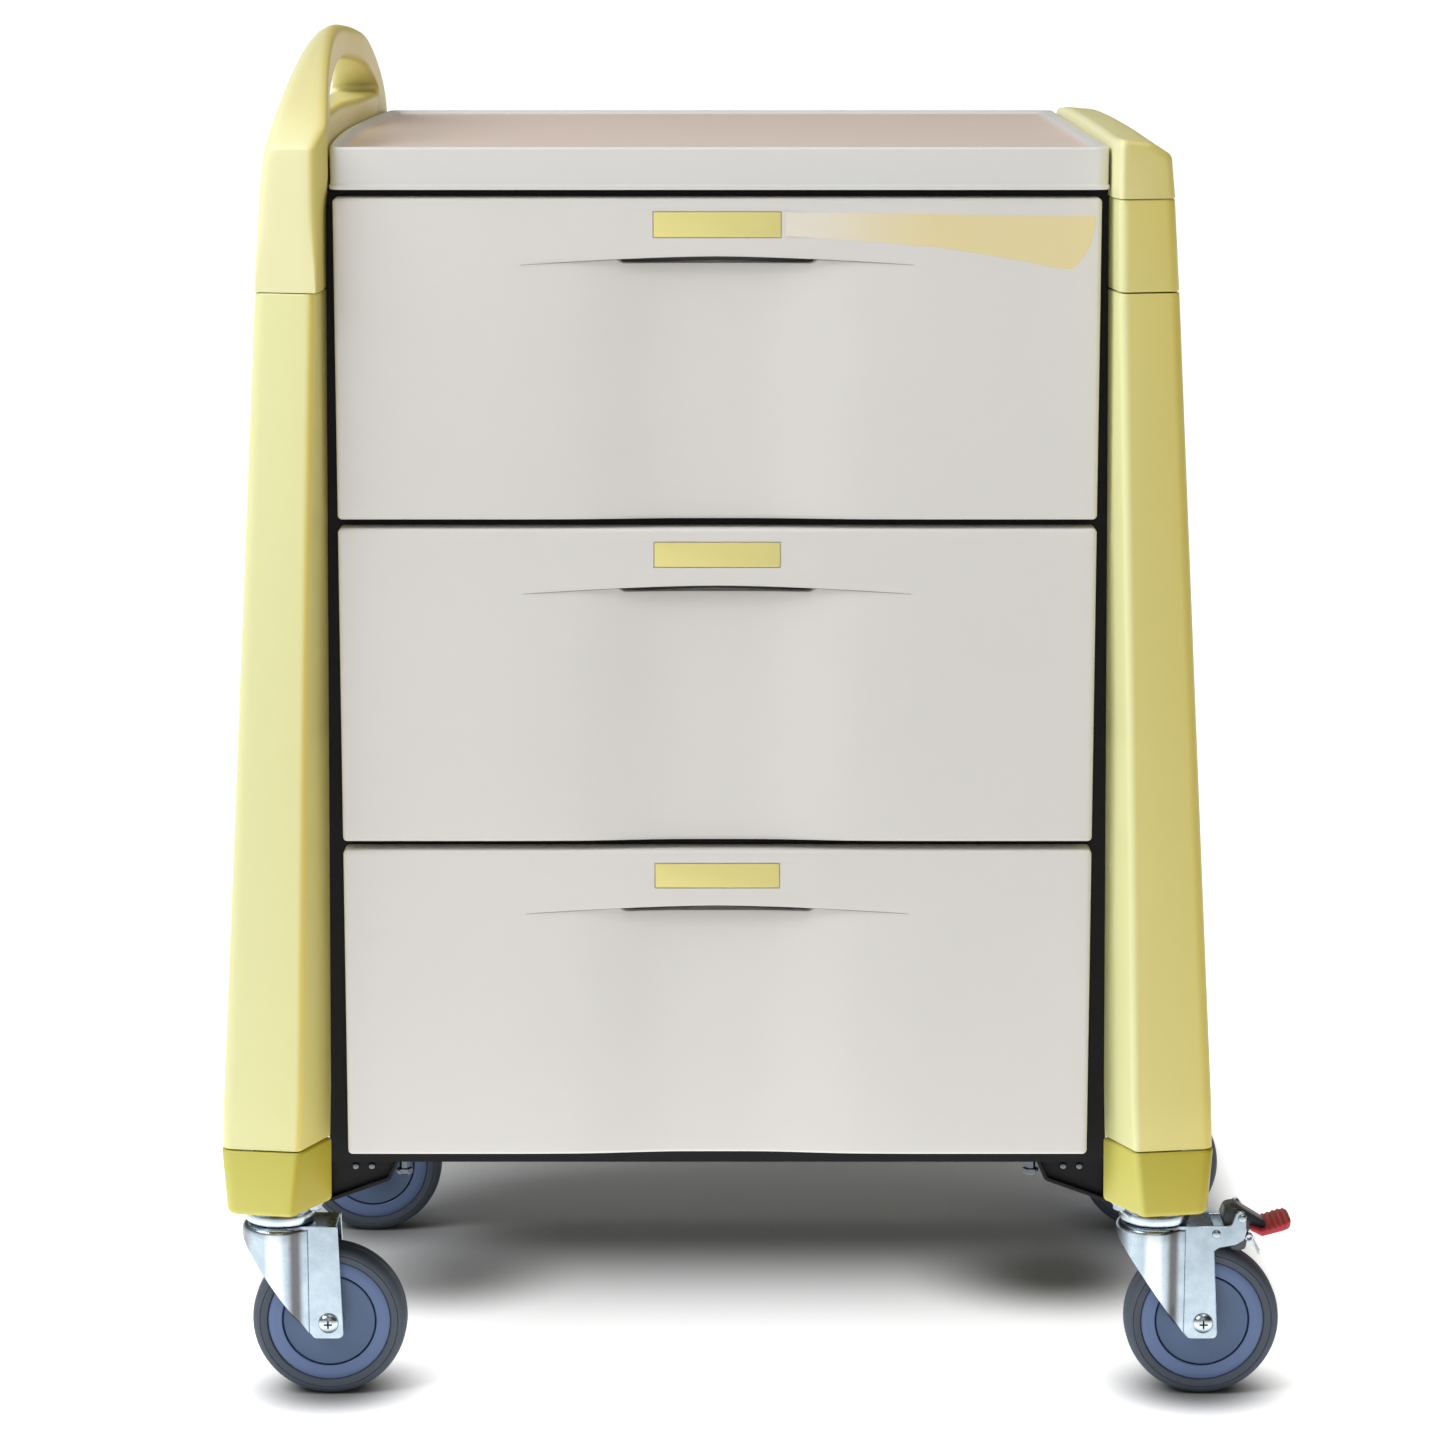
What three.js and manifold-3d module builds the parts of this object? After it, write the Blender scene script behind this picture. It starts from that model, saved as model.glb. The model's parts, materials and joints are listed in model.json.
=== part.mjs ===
// Rolling supply chest: three deep moulded drawers in a black steel frame, flared side
// covers with a push handle on the left, and four swivel casters, one with a foot brake.
// Millimetres, +Z up, front towards -Y. The cabinet's middle plane is x = 0 inside the
// group, and the group is moved so that the origin is the centre of the footprint.
import * as THREE from 'three';
import { mergeVertices } from 'three/addons/utils/BufferGeometryUtils.js';
import { ConvexGeometry } from 'three/addons/geometries/ConvexGeometry.js';
import Module from 'manifold-3d';

const wasm = await Module();
wasm.setup();

// ---- driving dimensions ----
const GAP = 0.3; // between pieces that touch
const FOOTPRINT_SHIFT = -35.25; // the brake pedal reaches further out than the left bumper

// cabinet
const DEPTH_HALF = 305; // side covers, front crease to middle
const FRAME_FRONT = -258; // front face of the black frame
const FRAME_THICK = 2;
const FRAME_HALF = 309.5;
const FRAME_BOTTOM = 203.5;
const FRAME_TOP = 977.5;
const SIDE_OUTER = 299.5;
const SHEET = 1.5;

// drawers
const PITCH = 254;
const TOP_DRAWER_TOP = 971.7;
const DRAWER_COUNT = 3;
const FRONT_HALF = 293;
const FRONT_HEIGHT = 247;
const FRONT_FACE = -283;
const FRONT_BACK = -259;
const FRONT_CORNER = 4;
const WINDOW_HALF = 286;
const WINDOW_TOP_DROP = 9; // window edge below the drawer front's top
const WINDOW_BOTTOM_DROP = 238;
const TRAY_HALF = 272;
const TRAY_REAR = 236;
const TRAY_TOP_DROP = 20;
const TRAY_BOTTOM_DROP = 235;
const TRAY_WALL = 3;
const INSERT_HALF = 48.5; // tinted plate in the drawer front
const INSERT_TOP_DROP = 10.7;
const INSERT_HEIGHT = 19;
const LIP_DROP = 45.5; // underside of the finger lip
const SCOOP_HALF = 166;
const SCOOP_DEEP_HALF = 75;
const SCOOP_DEPTH = 14;
const SCOOP_FOOT_HALF = 120; // where the scoop runs out, lower down the front
const SCOOP_LENGTH = 190;
const RECESS_DEPTH = 1.8; // for the tinted plate
const POCKET_DEPTH = 12; // undercut behind the finger lip

// drawer slides
const SLIDE_DROP = 150;
const SLIDE_INNER_FACE = 285;
const SLIDE_HALF_HEIGHT = 17;
const RAIL_FRONT = -250;
const RAIL_REAR = 230;
const SLIDE_FRONT = -256;
const SLIDE_REAR = 224;

// work surface
const DECK_LEFT = -294;
const DECK_RIGHT = 299;
const DECK_FRONT = -285;
const DECK_REAR = 300;
const DECK_BOTTOM = 978;
const DECK_TOP = 1010.6;
const DECK_LIP = 9;
const DECK_DISH = 3;
const DECK_BOW = 11; // the left edge bulges this much at mid depth, into the hollowed handle
const BOW_STEPS = 10;

// side covers: |x| of their outer face, front crease and inner edge at heights z
const OUTER_EDGE = [[170, 388.6], [224, 392.5], [549, 373.2], [901, 352.5], [972, 347.7], [1007, 344]];
const CREASE = [[170, 335.5], [224, 329], [267, 326.6], [555, 318], [903, 305.5], [1020, 303]];
const INNER_EDGE = [[170, 309], [972, 300], [1020, 300]];
const COVER_WALL = 4;
const CORNER_SETBACK = 10; // the front face recedes this much towards its outer corner
const CORNER_CHAMFER = 8;
const BUMPER_BOTTOM = 170;
const BUMPER_TOP = 224;
const COVER_TOP = 901;
const BAND_TOP = 972;

// push handle
const HANDLE_OUTER = [[1094, 323], [1076, 327], [1043, 334], [1000, 345], [901, 352.5]];
const ARCH_HALF = 300;
const ARCH_FOOT = 1009;
const ARCH_RISE = 85;
const ARCH_STEPS = 20;
const SLOT_HALF = 214;
const SLOT_SILL = 1031;
const SLOT_CROWN = 1066;
const SLOT_DROP = 31; // from the crown to the slot's ends
const SLOT_STEPS = 10;
const HOLLOW_OUTER = 334; // |x| and y of the hollows inside the handle and the cap
const HOLLOW_CAP_OUTER = 338;
const HOLLOW_HALF = 285;
const HOLLOW_ROOF = 12; // material left below the hand slot
const CAP_TOP = [[1016, 299.8], [1019.5, 304], [1018.5, 312], [1006, 344]];
const CAP_HOLLOW_TOP = 1001;
const BLOCK_TOP = 1100; // above everything that the top mouldings are carved from

// running gear
const CASTER_X = 354;
const CASTER_Y = 220;
const TRAIL = 39; // wheel centre behind the swivel axis
const WHEEL_RADIUS = 62.5;
const TREAD_HALF = 15;
const HUB_RADIUS = 50;
const HUB_HALF = 13;
const FORK_HALF = 20;
const FORK_SLOT_HALF = 17;
const FORK_SLOT_TOP = 131;
const FORK_TOP = 144;
const FORK_NOSE = 31; // radius of the round crown under the swivel race
const FORK_BACK = 47;
const EAR_TOP = 156.5;
const AXLE_RADIUS = 5;
const BORE_RADIUS = 5.8;
const RACE_RADIUS = 28;
const RACE_HEIGHT = 11;
const NECK_RADIUS = 20;
const PIN_RADIUS = 6;
const PLATE_THICK = 4;
const ARM_HALF_WIDTH = 35;
const ARM_WALL = 3;
const ARM_ROOT = 255; // |x| where the folded arm starts under the body
const ARM_TIP = 378;

// foot brake on the front right caster, from the swivel axis
const BRAKE_PIVOT = [68.5, 149];
const EAR_END = 72.8;
const PEDAL_ROOT = 76;
const PEDAL_KNEE = [85.3, 135.6]; // lowest point, where the pad turns up towards its tip
const PEDAL_TIP = 109;
const PEDAL_TOP = [[76, 147], [80, 144.5], [88, 141]]; // upper face from the root to the first rib
const PEDAL_HALF = 21;
const PEDAL_RISE = 0.33; // slope of the ribbed part
const PEDAL_RIBS = 5;
const RIB_HEIGHT = 1;

// ---- solids ----
const plain = (geometry) => {
  geometry.deleteAttribute('normal');
  geometry.deleteAttribute('uv');
  return mergeVertices(geometry, 1e-4);
};

function signedVolume(geometry) {
  const at = geometry.attributes.position;
  const index = geometry.index.array;
  const [a, b, c] = [new THREE.Vector3(), new THREE.Vector3(), new THREE.Vector3()];
  let sum = 0;
  for (let i = 0; i < index.length; i += 3) {
    a.fromBufferAttribute(at, index[i]);
    b.fromBufferAttribute(at, index[i + 1]);
    c.fromBufferAttribute(at, index[i + 2]);
    sum += a.dot(b.cross(c));
  }
  return sum;
}

// one closed mesh with shared vertices and its faces pointing out
function closed(geometry) {
  const body = plain(geometry);
  if (signedVolume(body) < 0) {
    body.index.array.reverse();
  }
  return body;
}

function solid(geometry) {
  const body = closed(geometry);
  const vertProperties = new Float32Array(body.attributes.position.array);
  const triVerts = new Uint32Array(body.index.array);
  return new wasm.Manifold(new wasm.Mesh({ numProp: 3, vertProperties, triVerts }));
}

function geometryOf(manifold) {
  const mesh = manifold.getMesh();
  const geometry = new THREE.BufferGeometry();
  geometry.setAttribute('position', new THREE.BufferAttribute(mesh.vertProperties, 3));
  geometry.setIndex(new THREE.BufferAttribute(mesh.triVerts, 1));
  return geometry;
}

const cut = (base, ...tools) => (
  geometryOf(tools.reduce((body, tool) => body.subtract(solid(tool)), solid(base)))
);
const join = (base, ...others) => (
  geometryOf(others.reduce((body, other) => body.add(solid(other)), solid(base)))
);
const common = (base, ...others) => (
  geometryOf(others.reduce((body, other) => body.intersect(solid(other)), solid(base)))
);

function box(x0, x1, y0, y1, z0, z1) {
  const geometry = new THREE.BoxGeometry(Math.abs(x1 - x0), Math.abs(y1 - y0), Math.abs(z1 - z0));
  geometry.translate((x0 + x1) / 2, (y0 + y1) / 2, (z0 + z1) / 2);
  return geometry;
}

const outline = (points) => new THREE.Shape(points.map(([u, v]) => new THREE.Vector2(u, v)));

const extruded = (shape, depth) => (
  new THREE.ExtrudeGeometry(shape, { depth, bevelEnabled: false, curveSegments: 4 })
);

// an outline in x and z, standing between two values of y
function prismY(shape, y0, y1) {
  const geometry = extruded(shape, y1 - y0);
  geometry.rotateX(Math.PI / 2);
  return geometry.translate(0, y1, 0);
}

// an outline in y and z, standing between two values of x
function prismX(shape, x0, x1) {
  const turn = new THREE.Matrix4().makeBasis(
    new THREE.Vector3(0, 1, 0),
    new THREE.Vector3(0, 0, 1),
    new THREE.Vector3(1, 0, 0),
  );
  return extruded(shape, x1 - x0).applyMatrix4(turn).translate(x0, 0, 0);
}

// an outline in x and y, standing between two values of z
const prismZ = (shape, z0, z1) => extruded(shape, z1 - z0).translate(0, 0, z0);

const lathe = (profile, steps) => (
  new THREE.LatheGeometry(profile.map(([r, h]) => new THREE.Vector2(r, h)), steps)
);
const latheZ = (profile, steps) => lathe(profile, steps).rotateX(Math.PI / 2);

const rod = (radius, low, high, steps) => lathe([[0, low], [radius, low], [radius, high], [0, high]], steps);

function roundedRectangle(x0, x1, z0, z1, r) {
  const shape = new THREE.Shape();
  shape.moveTo(x0 + r, z0);
  shape.lineTo(x1 - r, z0);
  shape.absarc(x1 - r, z0 + r, r, -Math.PI / 2, 0, false);
  shape.lineTo(x1, z1 - r);
  shape.absarc(x1 - r, z1 - r, r, 0, Math.PI / 2, false);
  shape.lineTo(x0 + r, z1);
  shape.absarc(x0 + r, z1 - r, r, Math.PI / 2, Math.PI, false);
  shape.lineTo(x0, z0 + r);
  shape.absarc(x0 + r, z0 + r, r, Math.PI, Math.PI * 1.5, false);
  return shape;
}

// a skin through stacked sections with equal counts of points, closed by flat ends
function loft(levels, sectionAt) {
  const sections = levels.map(sectionAt);
  const count = sections[0].length;
  const positions = sections.flatMap((section, k) => section.flatMap(([x, y]) => [x, y, levels[k]]));
  const index = [];
  for (let k = 0; k < levels.length - 1; k += 1) {
    for (let i = 0; i < count; i += 1) {
      const [a, b] = [k * count + i, k * count + ((i + 1) % count)];
      index.push(a, b, b + count, a, b + count, a + count);
    }
  }
  const clockwise = THREE.ShapeUtils.area(sections[0].map(([x, y]) => new THREE.Vector2(x, y))) < 0;
  const addEnd = (k, up) => {
    const contour = sections[k].map(([x, y]) => new THREE.Vector2(x, y));
    const offset = k * count;
    for (const [a, b, c] of THREE.ShapeUtils.triangulateShape(contour, [])) {
      const ordered = up !== clockwise ? [a, b, c] : [c, b, a];
      index.push(...ordered.map((i) => i + offset));
    }
  };
  addEnd(0, false);
  addEnd(levels.length - 1, true);
  const geometry = new THREE.BufferGeometry();
  geometry.setAttribute('position', new THREE.Float32BufferAttribute(positions, 3));
  geometry.setIndex(index);
  return geometry;
}

// straight-line reading of a table of [height, value]
function valueAt(table, z) {
  const last = table.length - 1;
  const k = Math.max(1, table.findIndex(([height]) => height >= z));
  const [[z0, v0], [z1, v1]] = z > table[last][0] ? table.slice(-2) : [table[k - 1], table[k]];
  return v0 + ((z - z0) / (z1 - z0)) * (v1 - v0);
}

// ---- work surface plan ----
// its outline, grown by margin on every side, with the bowed left edge
function deckPlan(margin) {
  const [front, rear] = [DECK_FRONT - margin, DECK_REAR + margin];
  const left = Array.from({ length: BOW_STEPS + 1 }, (_, k) => {
    const y = rear + ((front - rear) * k) / BOW_STEPS;
    return [DECK_LEFT - margin - DECK_BOW * Math.max(0, 1 - (y / ARCH_HALF) ** 2), y];
  });
  return outline([[DECK_RIGHT + margin, front], [DECK_RIGHT + margin, rear], ...left]);
}

// ---- side covers ----
// plan of one side's open channel at height z: outside from front to rear, then back inside
function coverSection(side, z) {
  const outer = valueAt(OUTER_EDGE, z);
  const crease = valueAt(CREASE, z);
  const inner = valueAt(INNER_EDGE, z);
  const wall = COVER_WALL;
  const corner = DEPTH_HALF - CORNER_SETBACK;
  const outside = [
    [inner, -FRAME_FRONT],
    [crease, DEPTH_HALF],
    [outer - CORNER_CHAMFER, corner],
    [outer, corner - CORNER_CHAMFER],
  ];
  const inside = [
    [inner + wall, -FRAME_FRONT],
    [crease + wall * 0.8, DEPTH_HALF - wall],
    [outer - CORNER_CHAMFER - wall * 0.5, corner - wall],
    [outer - wall, corner - CORNER_CHAMFER - wall * 0.5],
  ];
  const front = (points) => points.map(([x, y]) => [side * x, -y]);
  const rear = (points) => points.map(([x, y]) => [side * x, y]).reverse();
  return [...front(outside), ...rear(outside), ...rear(inside).reverse(), ...front(inside).reverse()];
}

function coverShell(side, low, high) {
  const between = [224, 267, 549, 903].filter((z) => z > low + 1 && z < high - 1);
  return loft([low, ...between, high], (z) => coverSection(side, z));
}

// plan of the closed block that the handle and the cap are carved from
function topPlan(side) {
  const outer = valueAt(OUTER_EDGE, COVER_TOP);
  const half = [
    [294.3, 262],
    [304.5, DEPTH_HALF],
    [outer - CORNER_CHAMFER, DEPTH_HALF - CORNER_SETBACK],
    [outer, DEPTH_HALF - CORNER_SETBACK - CORNER_CHAMFER],
  ];
  const front = half.map(([x, y]) => [side * x, -y]);
  const rear = half.map(([x, y]) => [side * x, y]).reverse();
  return outline([...front, ...rear]);
}

const archHeight = (y) => ARCH_FOOT + ARCH_RISE * Math.max(0, 1 - (y / ARCH_HALF) ** 2) ** 0.75;
const slotHeight = (y) => SLOT_CROWN - SLOT_DROP * (y / SLOT_HALF) ** 2;

function pushHandle() {
  const spaced = (half, steps) => (
    Array.from({ length: steps + 1 }, (_, i) => half * Math.cos((Math.PI * i) / steps))
  );
  const arch = spaced(ARCH_HALF, ARCH_STEPS).map((y) => [y, archHeight(y)]);
  const face = outline([
    [-DEPTH_HALF - 1, COVER_TOP + GAP],
    [DEPTH_HALF + 1, COVER_TOP + GAP],
    [DEPTH_HALF + 1, ARCH_FOOT],
    ...arch,
    [-DEPTH_HALF - 1, ARCH_FOOT],
  ]);
  const slot = outline([
    [-SLOT_HALF, SLOT_SILL],
    [SLOT_HALF, SLOT_SILL],
    ...spaced(SLOT_HALF, SLOT_STEPS).map((y) => [y, slotHeight(y)]),
  ]);
  face.holes.push(slot);
  const inboard = SIDE_OUTER + GAP;
  const profile = outline([
    [-inboard, COVER_TOP],
    [-inboard, DECK_BOTTOM - GAP],
    [DECK_LEFT - GAP, DECK_BOTTOM - GAP],
    [DECK_LEFT - GAP, BLOCK_TOP],
    ...HANDLE_OUTER.map(([z, x]) => [-x, z]),
  ]);
  const block = common(
    prismX(face, -360, -290),
    prismY(profile, -DEPTH_HALF, DEPTH_HALF),
    prismZ(topPlan(-1), COVER_TOP - 1, BLOCK_TOP),
  );
  const innerWall = DECK_LEFT - DECK_BOW - COVER_WALL;
  const roof = SLOT_SILL - HOLLOW_ROOF;
  const hollow = box(-HOLLOW_OUTER, innerWall, -HOLLOW_HALF, HOLLOW_HALF, COVER_TOP - 1, roof);
  const openSide = box(-HOLLOW_CAP_OUTER, -290, FRAME_FRONT, -FRAME_FRONT, COVER_TOP - 1, FRAME_TOP + GAP);
  return cut(block, hollow, openSide, prismZ(deckPlan(GAP), DECK_BOTTOM - GAP, BLOCK_TOP));
}

function rightCap() {
  const inboard = SIDE_OUTER + GAP;
  const profile = outline([
    [inboard, BAND_TOP + GAP],
    ...CAP_TOP.map(([z, x]) => [x, z]),
    [valueAt(OUTER_EDGE, BAND_TOP), BAND_TOP + GAP],
  ]);
  const block = common(
    prismY(profile, -DEPTH_HALF, DEPTH_HALF),
    prismZ(topPlan(1), BAND_TOP, BLOCK_TOP),
  );
  const wall = inboard + COVER_WALL;
  const outer = HOLLOW_CAP_OUTER;
  const hollow = box(wall, outer, -HOLLOW_HALF, HOLLOW_HALF, BAND_TOP - 1, CAP_HOLLOW_TOP);
  const openSide = box(290, outer, FRAME_FRONT, -FRAME_FRONT, BAND_TOP - 1, FRAME_TOP + GAP);
  return cut(block, hollow, openSide);
}

// ---- cabinet ----
const drawerTop = (i) => TOP_DRAWER_TOP - i * PITCH;
const drawers = Array.from({ length: DRAWER_COUNT }, (_, i) => i);

function frontFrame() {
  const rectangle = (half, low, high) => outline([[-half, low], [half, low], [half, high], [-half, high]]);
  const shape = rectangle(FRAME_HALF, FRAME_BOTTOM, FRAME_TOP);
  for (const i of drawers) {
    const top = drawerTop(i);
    shape.holes.push(rectangle(WINDOW_HALF, top - WINDOW_BOTTOM_DROP, top - WINDOW_TOP_DROP));
  }
  return prismY(shape, FRAME_FRONT + GAP, FRAME_FRONT + GAP + FRAME_THICK);
}

const PANEL_FRONT = FRAME_FRONT + FRAME_THICK + 2 * GAP;

const sidePanel = (side) => (
  box(side * SIDE_OUTER, side * (SIDE_OUTER - SHEET), PANEL_FRONT, -PANEL_FRONT, FRAME_BOTTOM, FRAME_TOP)
);

const backPanel = () => (
  box(-FRAME_HALF, FRAME_HALF, -PANEL_FRONT + GAP, -FRAME_FRONT - GAP, FRAME_BOTTOM, FRAME_TOP)
);

function basePan() {
  const half = SIDE_OUTER - SHEET - GAP;
  return box(-half, half, PANEL_FRONT, -PANEL_FRONT, FRAME_BOTTOM, FRAME_BOTTOM + FRAME_THICK);
}

// slab with a shallow dish inside a lip at the two ends and along the back
function workSurface() {
  const slab = prismZ(deckPlan(0), DECK_BOTTOM, DECK_TOP);
  const dish = DECK_TOP - DECK_DISH;
  const inside = prismZ(deckPlan(-DECK_LIP), dish, DECK_TOP + 1);
  const [left, right] = [DECK_LEFT + DECK_LIP, DECK_RIGHT - DECK_LIP];
  const front = box(left, right, DECK_FRONT - 1, DECK_FRONT + DECK_LIP * 2, dish, DECK_TOP + 1);
  return cut(slab, inside, front);
}

// folded arm under the base pan that reaches out over a caster
function outrigger(side, end) {
  const arm = (wall) => outline([
    [side * ARM_ROOT, FRAME_BOTTOM - GAP + wall],
    [side * (262 + wall), 187 + wall],
    [side * (308 + wall), BUMPER_BOTTOM + wall],
    [side * ARM_TIP, BUMPER_BOTTOM + wall],
    [side * ARM_TIP, FRAME_BOTTOM - GAP + wall],
  ]);
  const y = end * CASTER_Y;
  const block = prismY(arm(0), y - ARM_HALF_WIDTH, y + ARM_HALF_WIDTH);
  const inside = ARM_HALF_WIDTH - ARM_WALL;
  return cut(block, prismY(arm(ARM_WALL), y - inside, y + inside));
}

// ---- drawers ----
function drawerFront(i) {
  const top = drawerTop(i);
  const lip = top - LIP_DROP;
  const slab = prismY(
    roundedRectangle(-FRONT_HALF, FRONT_HALF, top - FRONT_HEIGHT, top, FRONT_CORNER),
    FRONT_FACE,
    FRONT_BACK,
  );
  const recessHalf = INSERT_HALF + GAP;
  const recessTop = top - INSERT_TOP_DROP + GAP;
  const recessBottom = recessTop - INSERT_HEIGHT - 2 * GAP;
  const outside = FRONT_FACE - 1;
  const recess = box(-recessHalf, recessHalf, outside, FRONT_FACE + RECESS_DEPTH, recessBottom, recessTop);
  const scoop = new ConvexGeometry([
    new THREE.Vector3(-SCOOP_HALF, outside, lip),
    new THREE.Vector3(SCOOP_HALF, outside, lip),
    new THREE.Vector3(-SCOOP_DEEP_HALF, FRONT_FACE + SCOOP_DEPTH, lip),
    new THREE.Vector3(SCOOP_DEEP_HALF, FRONT_FACE + SCOOP_DEPTH, lip),
    new THREE.Vector3(-SCOOP_FOOT_HALF, outside, lip - SCOOP_LENGTH),
    new THREE.Vector3(SCOOP_FOOT_HALF, outside, lip - SCOOP_LENGTH),
  ]);
  const half = SCOOP_DEEP_HALF;
  const pocketFront = FRONT_FACE + SCOOP_DEPTH / 2;
  const pocket = box(-half, half, pocketFront, pocketFront + POCKET_DEPTH, lip - 10, lip + 11);
  return cut(slab, recess, scoop, pocket);
}

function drawerInsert(i) {
  const top = drawerTop(i) - INSERT_TOP_DROP;
  return box(-INSERT_HALF, INSERT_HALF, FRONT_FACE + 0.3, FRONT_FACE + 1.5, top - INSERT_HEIGHT, top);
}

function drawerTray(i) {
  const [low, high] = [drawerTop(i) - TRAY_BOTTOM_DROP, drawerTop(i) - TRAY_TOP_DROP];
  const [half, wall] = [TRAY_HALF - TRAY_WALL, TRAY_WALL];
  const front = FRONT_BACK + GAP;
  return cut(
    box(-TRAY_HALF, TRAY_HALF, front, TRAY_REAR, low, high),
    box(-half, half, front + wall, TRAY_REAR - wall, low + wall, high + 1),
  );
}

// channel fixed to the tray, open towards the cabinet side
function innerSlide(i, side) {
  const z = drawerTop(i) - SLIDE_DROP;
  const [web, lip, h] = [TRAY_HALF + GAP, SLIDE_INNER_FACE, SLIDE_HALF_HEIGHT];
  const shape = outline([
    [side * web, z - h],
    [side * lip, z - h],
    [side * lip, z - h + SHEET],
    [side * (web + SHEET), z - h + SHEET],
    [side * (web + SHEET), z + h - SHEET],
    [side * lip, z + h - SHEET],
    [side * lip, z + h],
    [side * web, z + h],
  ]);
  return prismY(shape, SLIDE_FRONT, SLIDE_REAR);
}

// channel fixed to the cabinet side, its flanges above and below the inner slide
function outerRail(i, side) {
  const z = drawerTop(i) - SLIDE_DROP;
  const web = SIDE_OUTER - SHEET - GAP;
  const h = SLIDE_HALF_HEIGHT + 1 + SHEET;
  const shape = outline([
    [side * web, z - h],
    [side * (web - 18), z - h],
    [side * (web - 18), z - h + SHEET],
    [side * (web - SHEET), z - h + SHEET],
    [side * (web - SHEET), z + h - SHEET],
    [side * (web - 18), z + h - SHEET],
    [side * (web - 18), z + h],
    [side * web, z + h],
  ]);
  return prismY(shape, RAIL_FRONT, RAIL_REAR);
}

// ---- casters, around the swivel axis ----
// mounting plate, swivel race and king pin
function casterPlate() {
  const top = BUMPER_BOTTOM - GAP;
  const plate = box(-38, 38, -33, 33, top - PLATE_THICK, top);
  const race = latheZ([
    [0, 134],
    [PIN_RADIUS, 134],
    [PIN_RADIUS, FORK_TOP + GAP],
    [RACE_RADIUS, FORK_TOP + GAP],
    [RACE_RADIUS, FORK_TOP + RACE_HEIGHT],
    [NECK_RADIUS, FORK_TOP + RACE_HEIGHT + 3],
    [NECK_RADIUS, top - 1],
    [0, top - 1],
  ].map(([r, z]) => [r, -z]), 20);
  return join(plate, race.rotateX(Math.PI));
}

// bent steel fork: crown over the wheel, two legs down to the axle
function casterFork(withEar) {
  const shape = new THREE.Shape();
  shape.moveTo(-FORK_NOSE, FORK_TOP);
  shape.lineTo(-FORK_NOSE, 133);
  shape.lineTo(TRAIL - 13, 56);
  shape.absarc(TRAIL, WHEEL_RADIUS, 14.5, Math.PI * 1.15, Math.PI * 1.95, false);
  shape.lineTo(TRAIL + 13, 100);
  shape.lineTo(FORK_BACK, 122);
  if (withEar) {
    shape.lineTo(62, 134);
    shape.lineTo(EAR_END, 143);
    shape.lineTo(EAR_END, EAR_TOP);
    shape.lineTo(60, EAR_TOP);
  }
  shape.lineTo(FORK_BACK, FORK_TOP);
  const block = prismY(shape, -FORK_HALF, FORK_HALF);
  const crown = rod(FORK_NOSE, FORK_SLOT_TOP, FORK_TOP, 24).rotateX(Math.PI / 2);
  const slot = box(-60, 120, -FORK_SLOT_HALF, FORK_SLOT_HALF, 30, FORK_SLOT_TOP);
  const mouth = box(49, 120, -FORK_SLOT_HALF, FORK_SLOT_HALF, 60, FORK_TOP + 20);
  const axleHole = rod(BORE_RADIUS, -40, 40, 12).translate(TRAIL, 0, WHEEL_RADIUS);
  const pinHole = rod(PIN_RADIUS + 1, 90, 200, 12).rotateX(Math.PI / 2);
  return cut(join(block, crown), slot, mouth, axleHole, pinHole);
}

// axle with a head outside each leg
function casterAxle() {
  const leg = FORK_HALF + GAP;
  const profile = [[0, -leg - 5], [8, -leg - 5], [8, -leg], [AXLE_RADIUS, -leg]];
  const other = profile.map(([r, y]) => [r, -y]).reverse();
  return lathe([...profile, ...other], 12);
}

function casterTyre() {
  const [r, h, shoulder] = [WHEEL_RADIUS, TREAD_HALF, 5];
  return lathe([
    [HUB_RADIUS, -h + 1],
    [r - shoulder, -h],
    [r, -h + shoulder],
    [r, h - shoulder],
    [r - shoulder, h],
    [HUB_RADIUS, h - 1],
    [HUB_RADIUS, -h + 1],
  ], 32);
}

function casterHub() {
  const [rim, h] = [HUB_RADIUS - GAP, HUB_HALF];
  return lathe([
    [BORE_RADIUS, -h - 2],
    [14, -h - 2],
    [16, -h + 4],
    [34, -h + 4],
    [38, -h],
    [rim, -h],
    [rim, h],
    [38, h],
    [34, h - 4],
    [16, h - 4],
    [14, h + 2],
    [BORE_RADIUS, h + 2],
    [BORE_RADIUS, -h - 2],
  ], 24);
}

// lever between the ears, with a cam below the pivot that comes down on the tyre
function brakeLever() {
  const [x, z] = BRAKE_PIVOT;
  const half = FORK_SLOT_HALF - GAP;
  const end = PEDAL_ROOT - GAP;
  const shape = outline([
    [x - 8, z - 25.5],
    [x - 2.4, z - 27.8],
    [x + 4, z - 26.5],
    [end, z - 10],
    [end, z + 2],
    [x + 2, z + 4.5],
    [x - 4, z + 7],
    [x - 10, z + 6],
    [x - 14, z],
  ]);
  return prismY(shape, -half, half);
}

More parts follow.
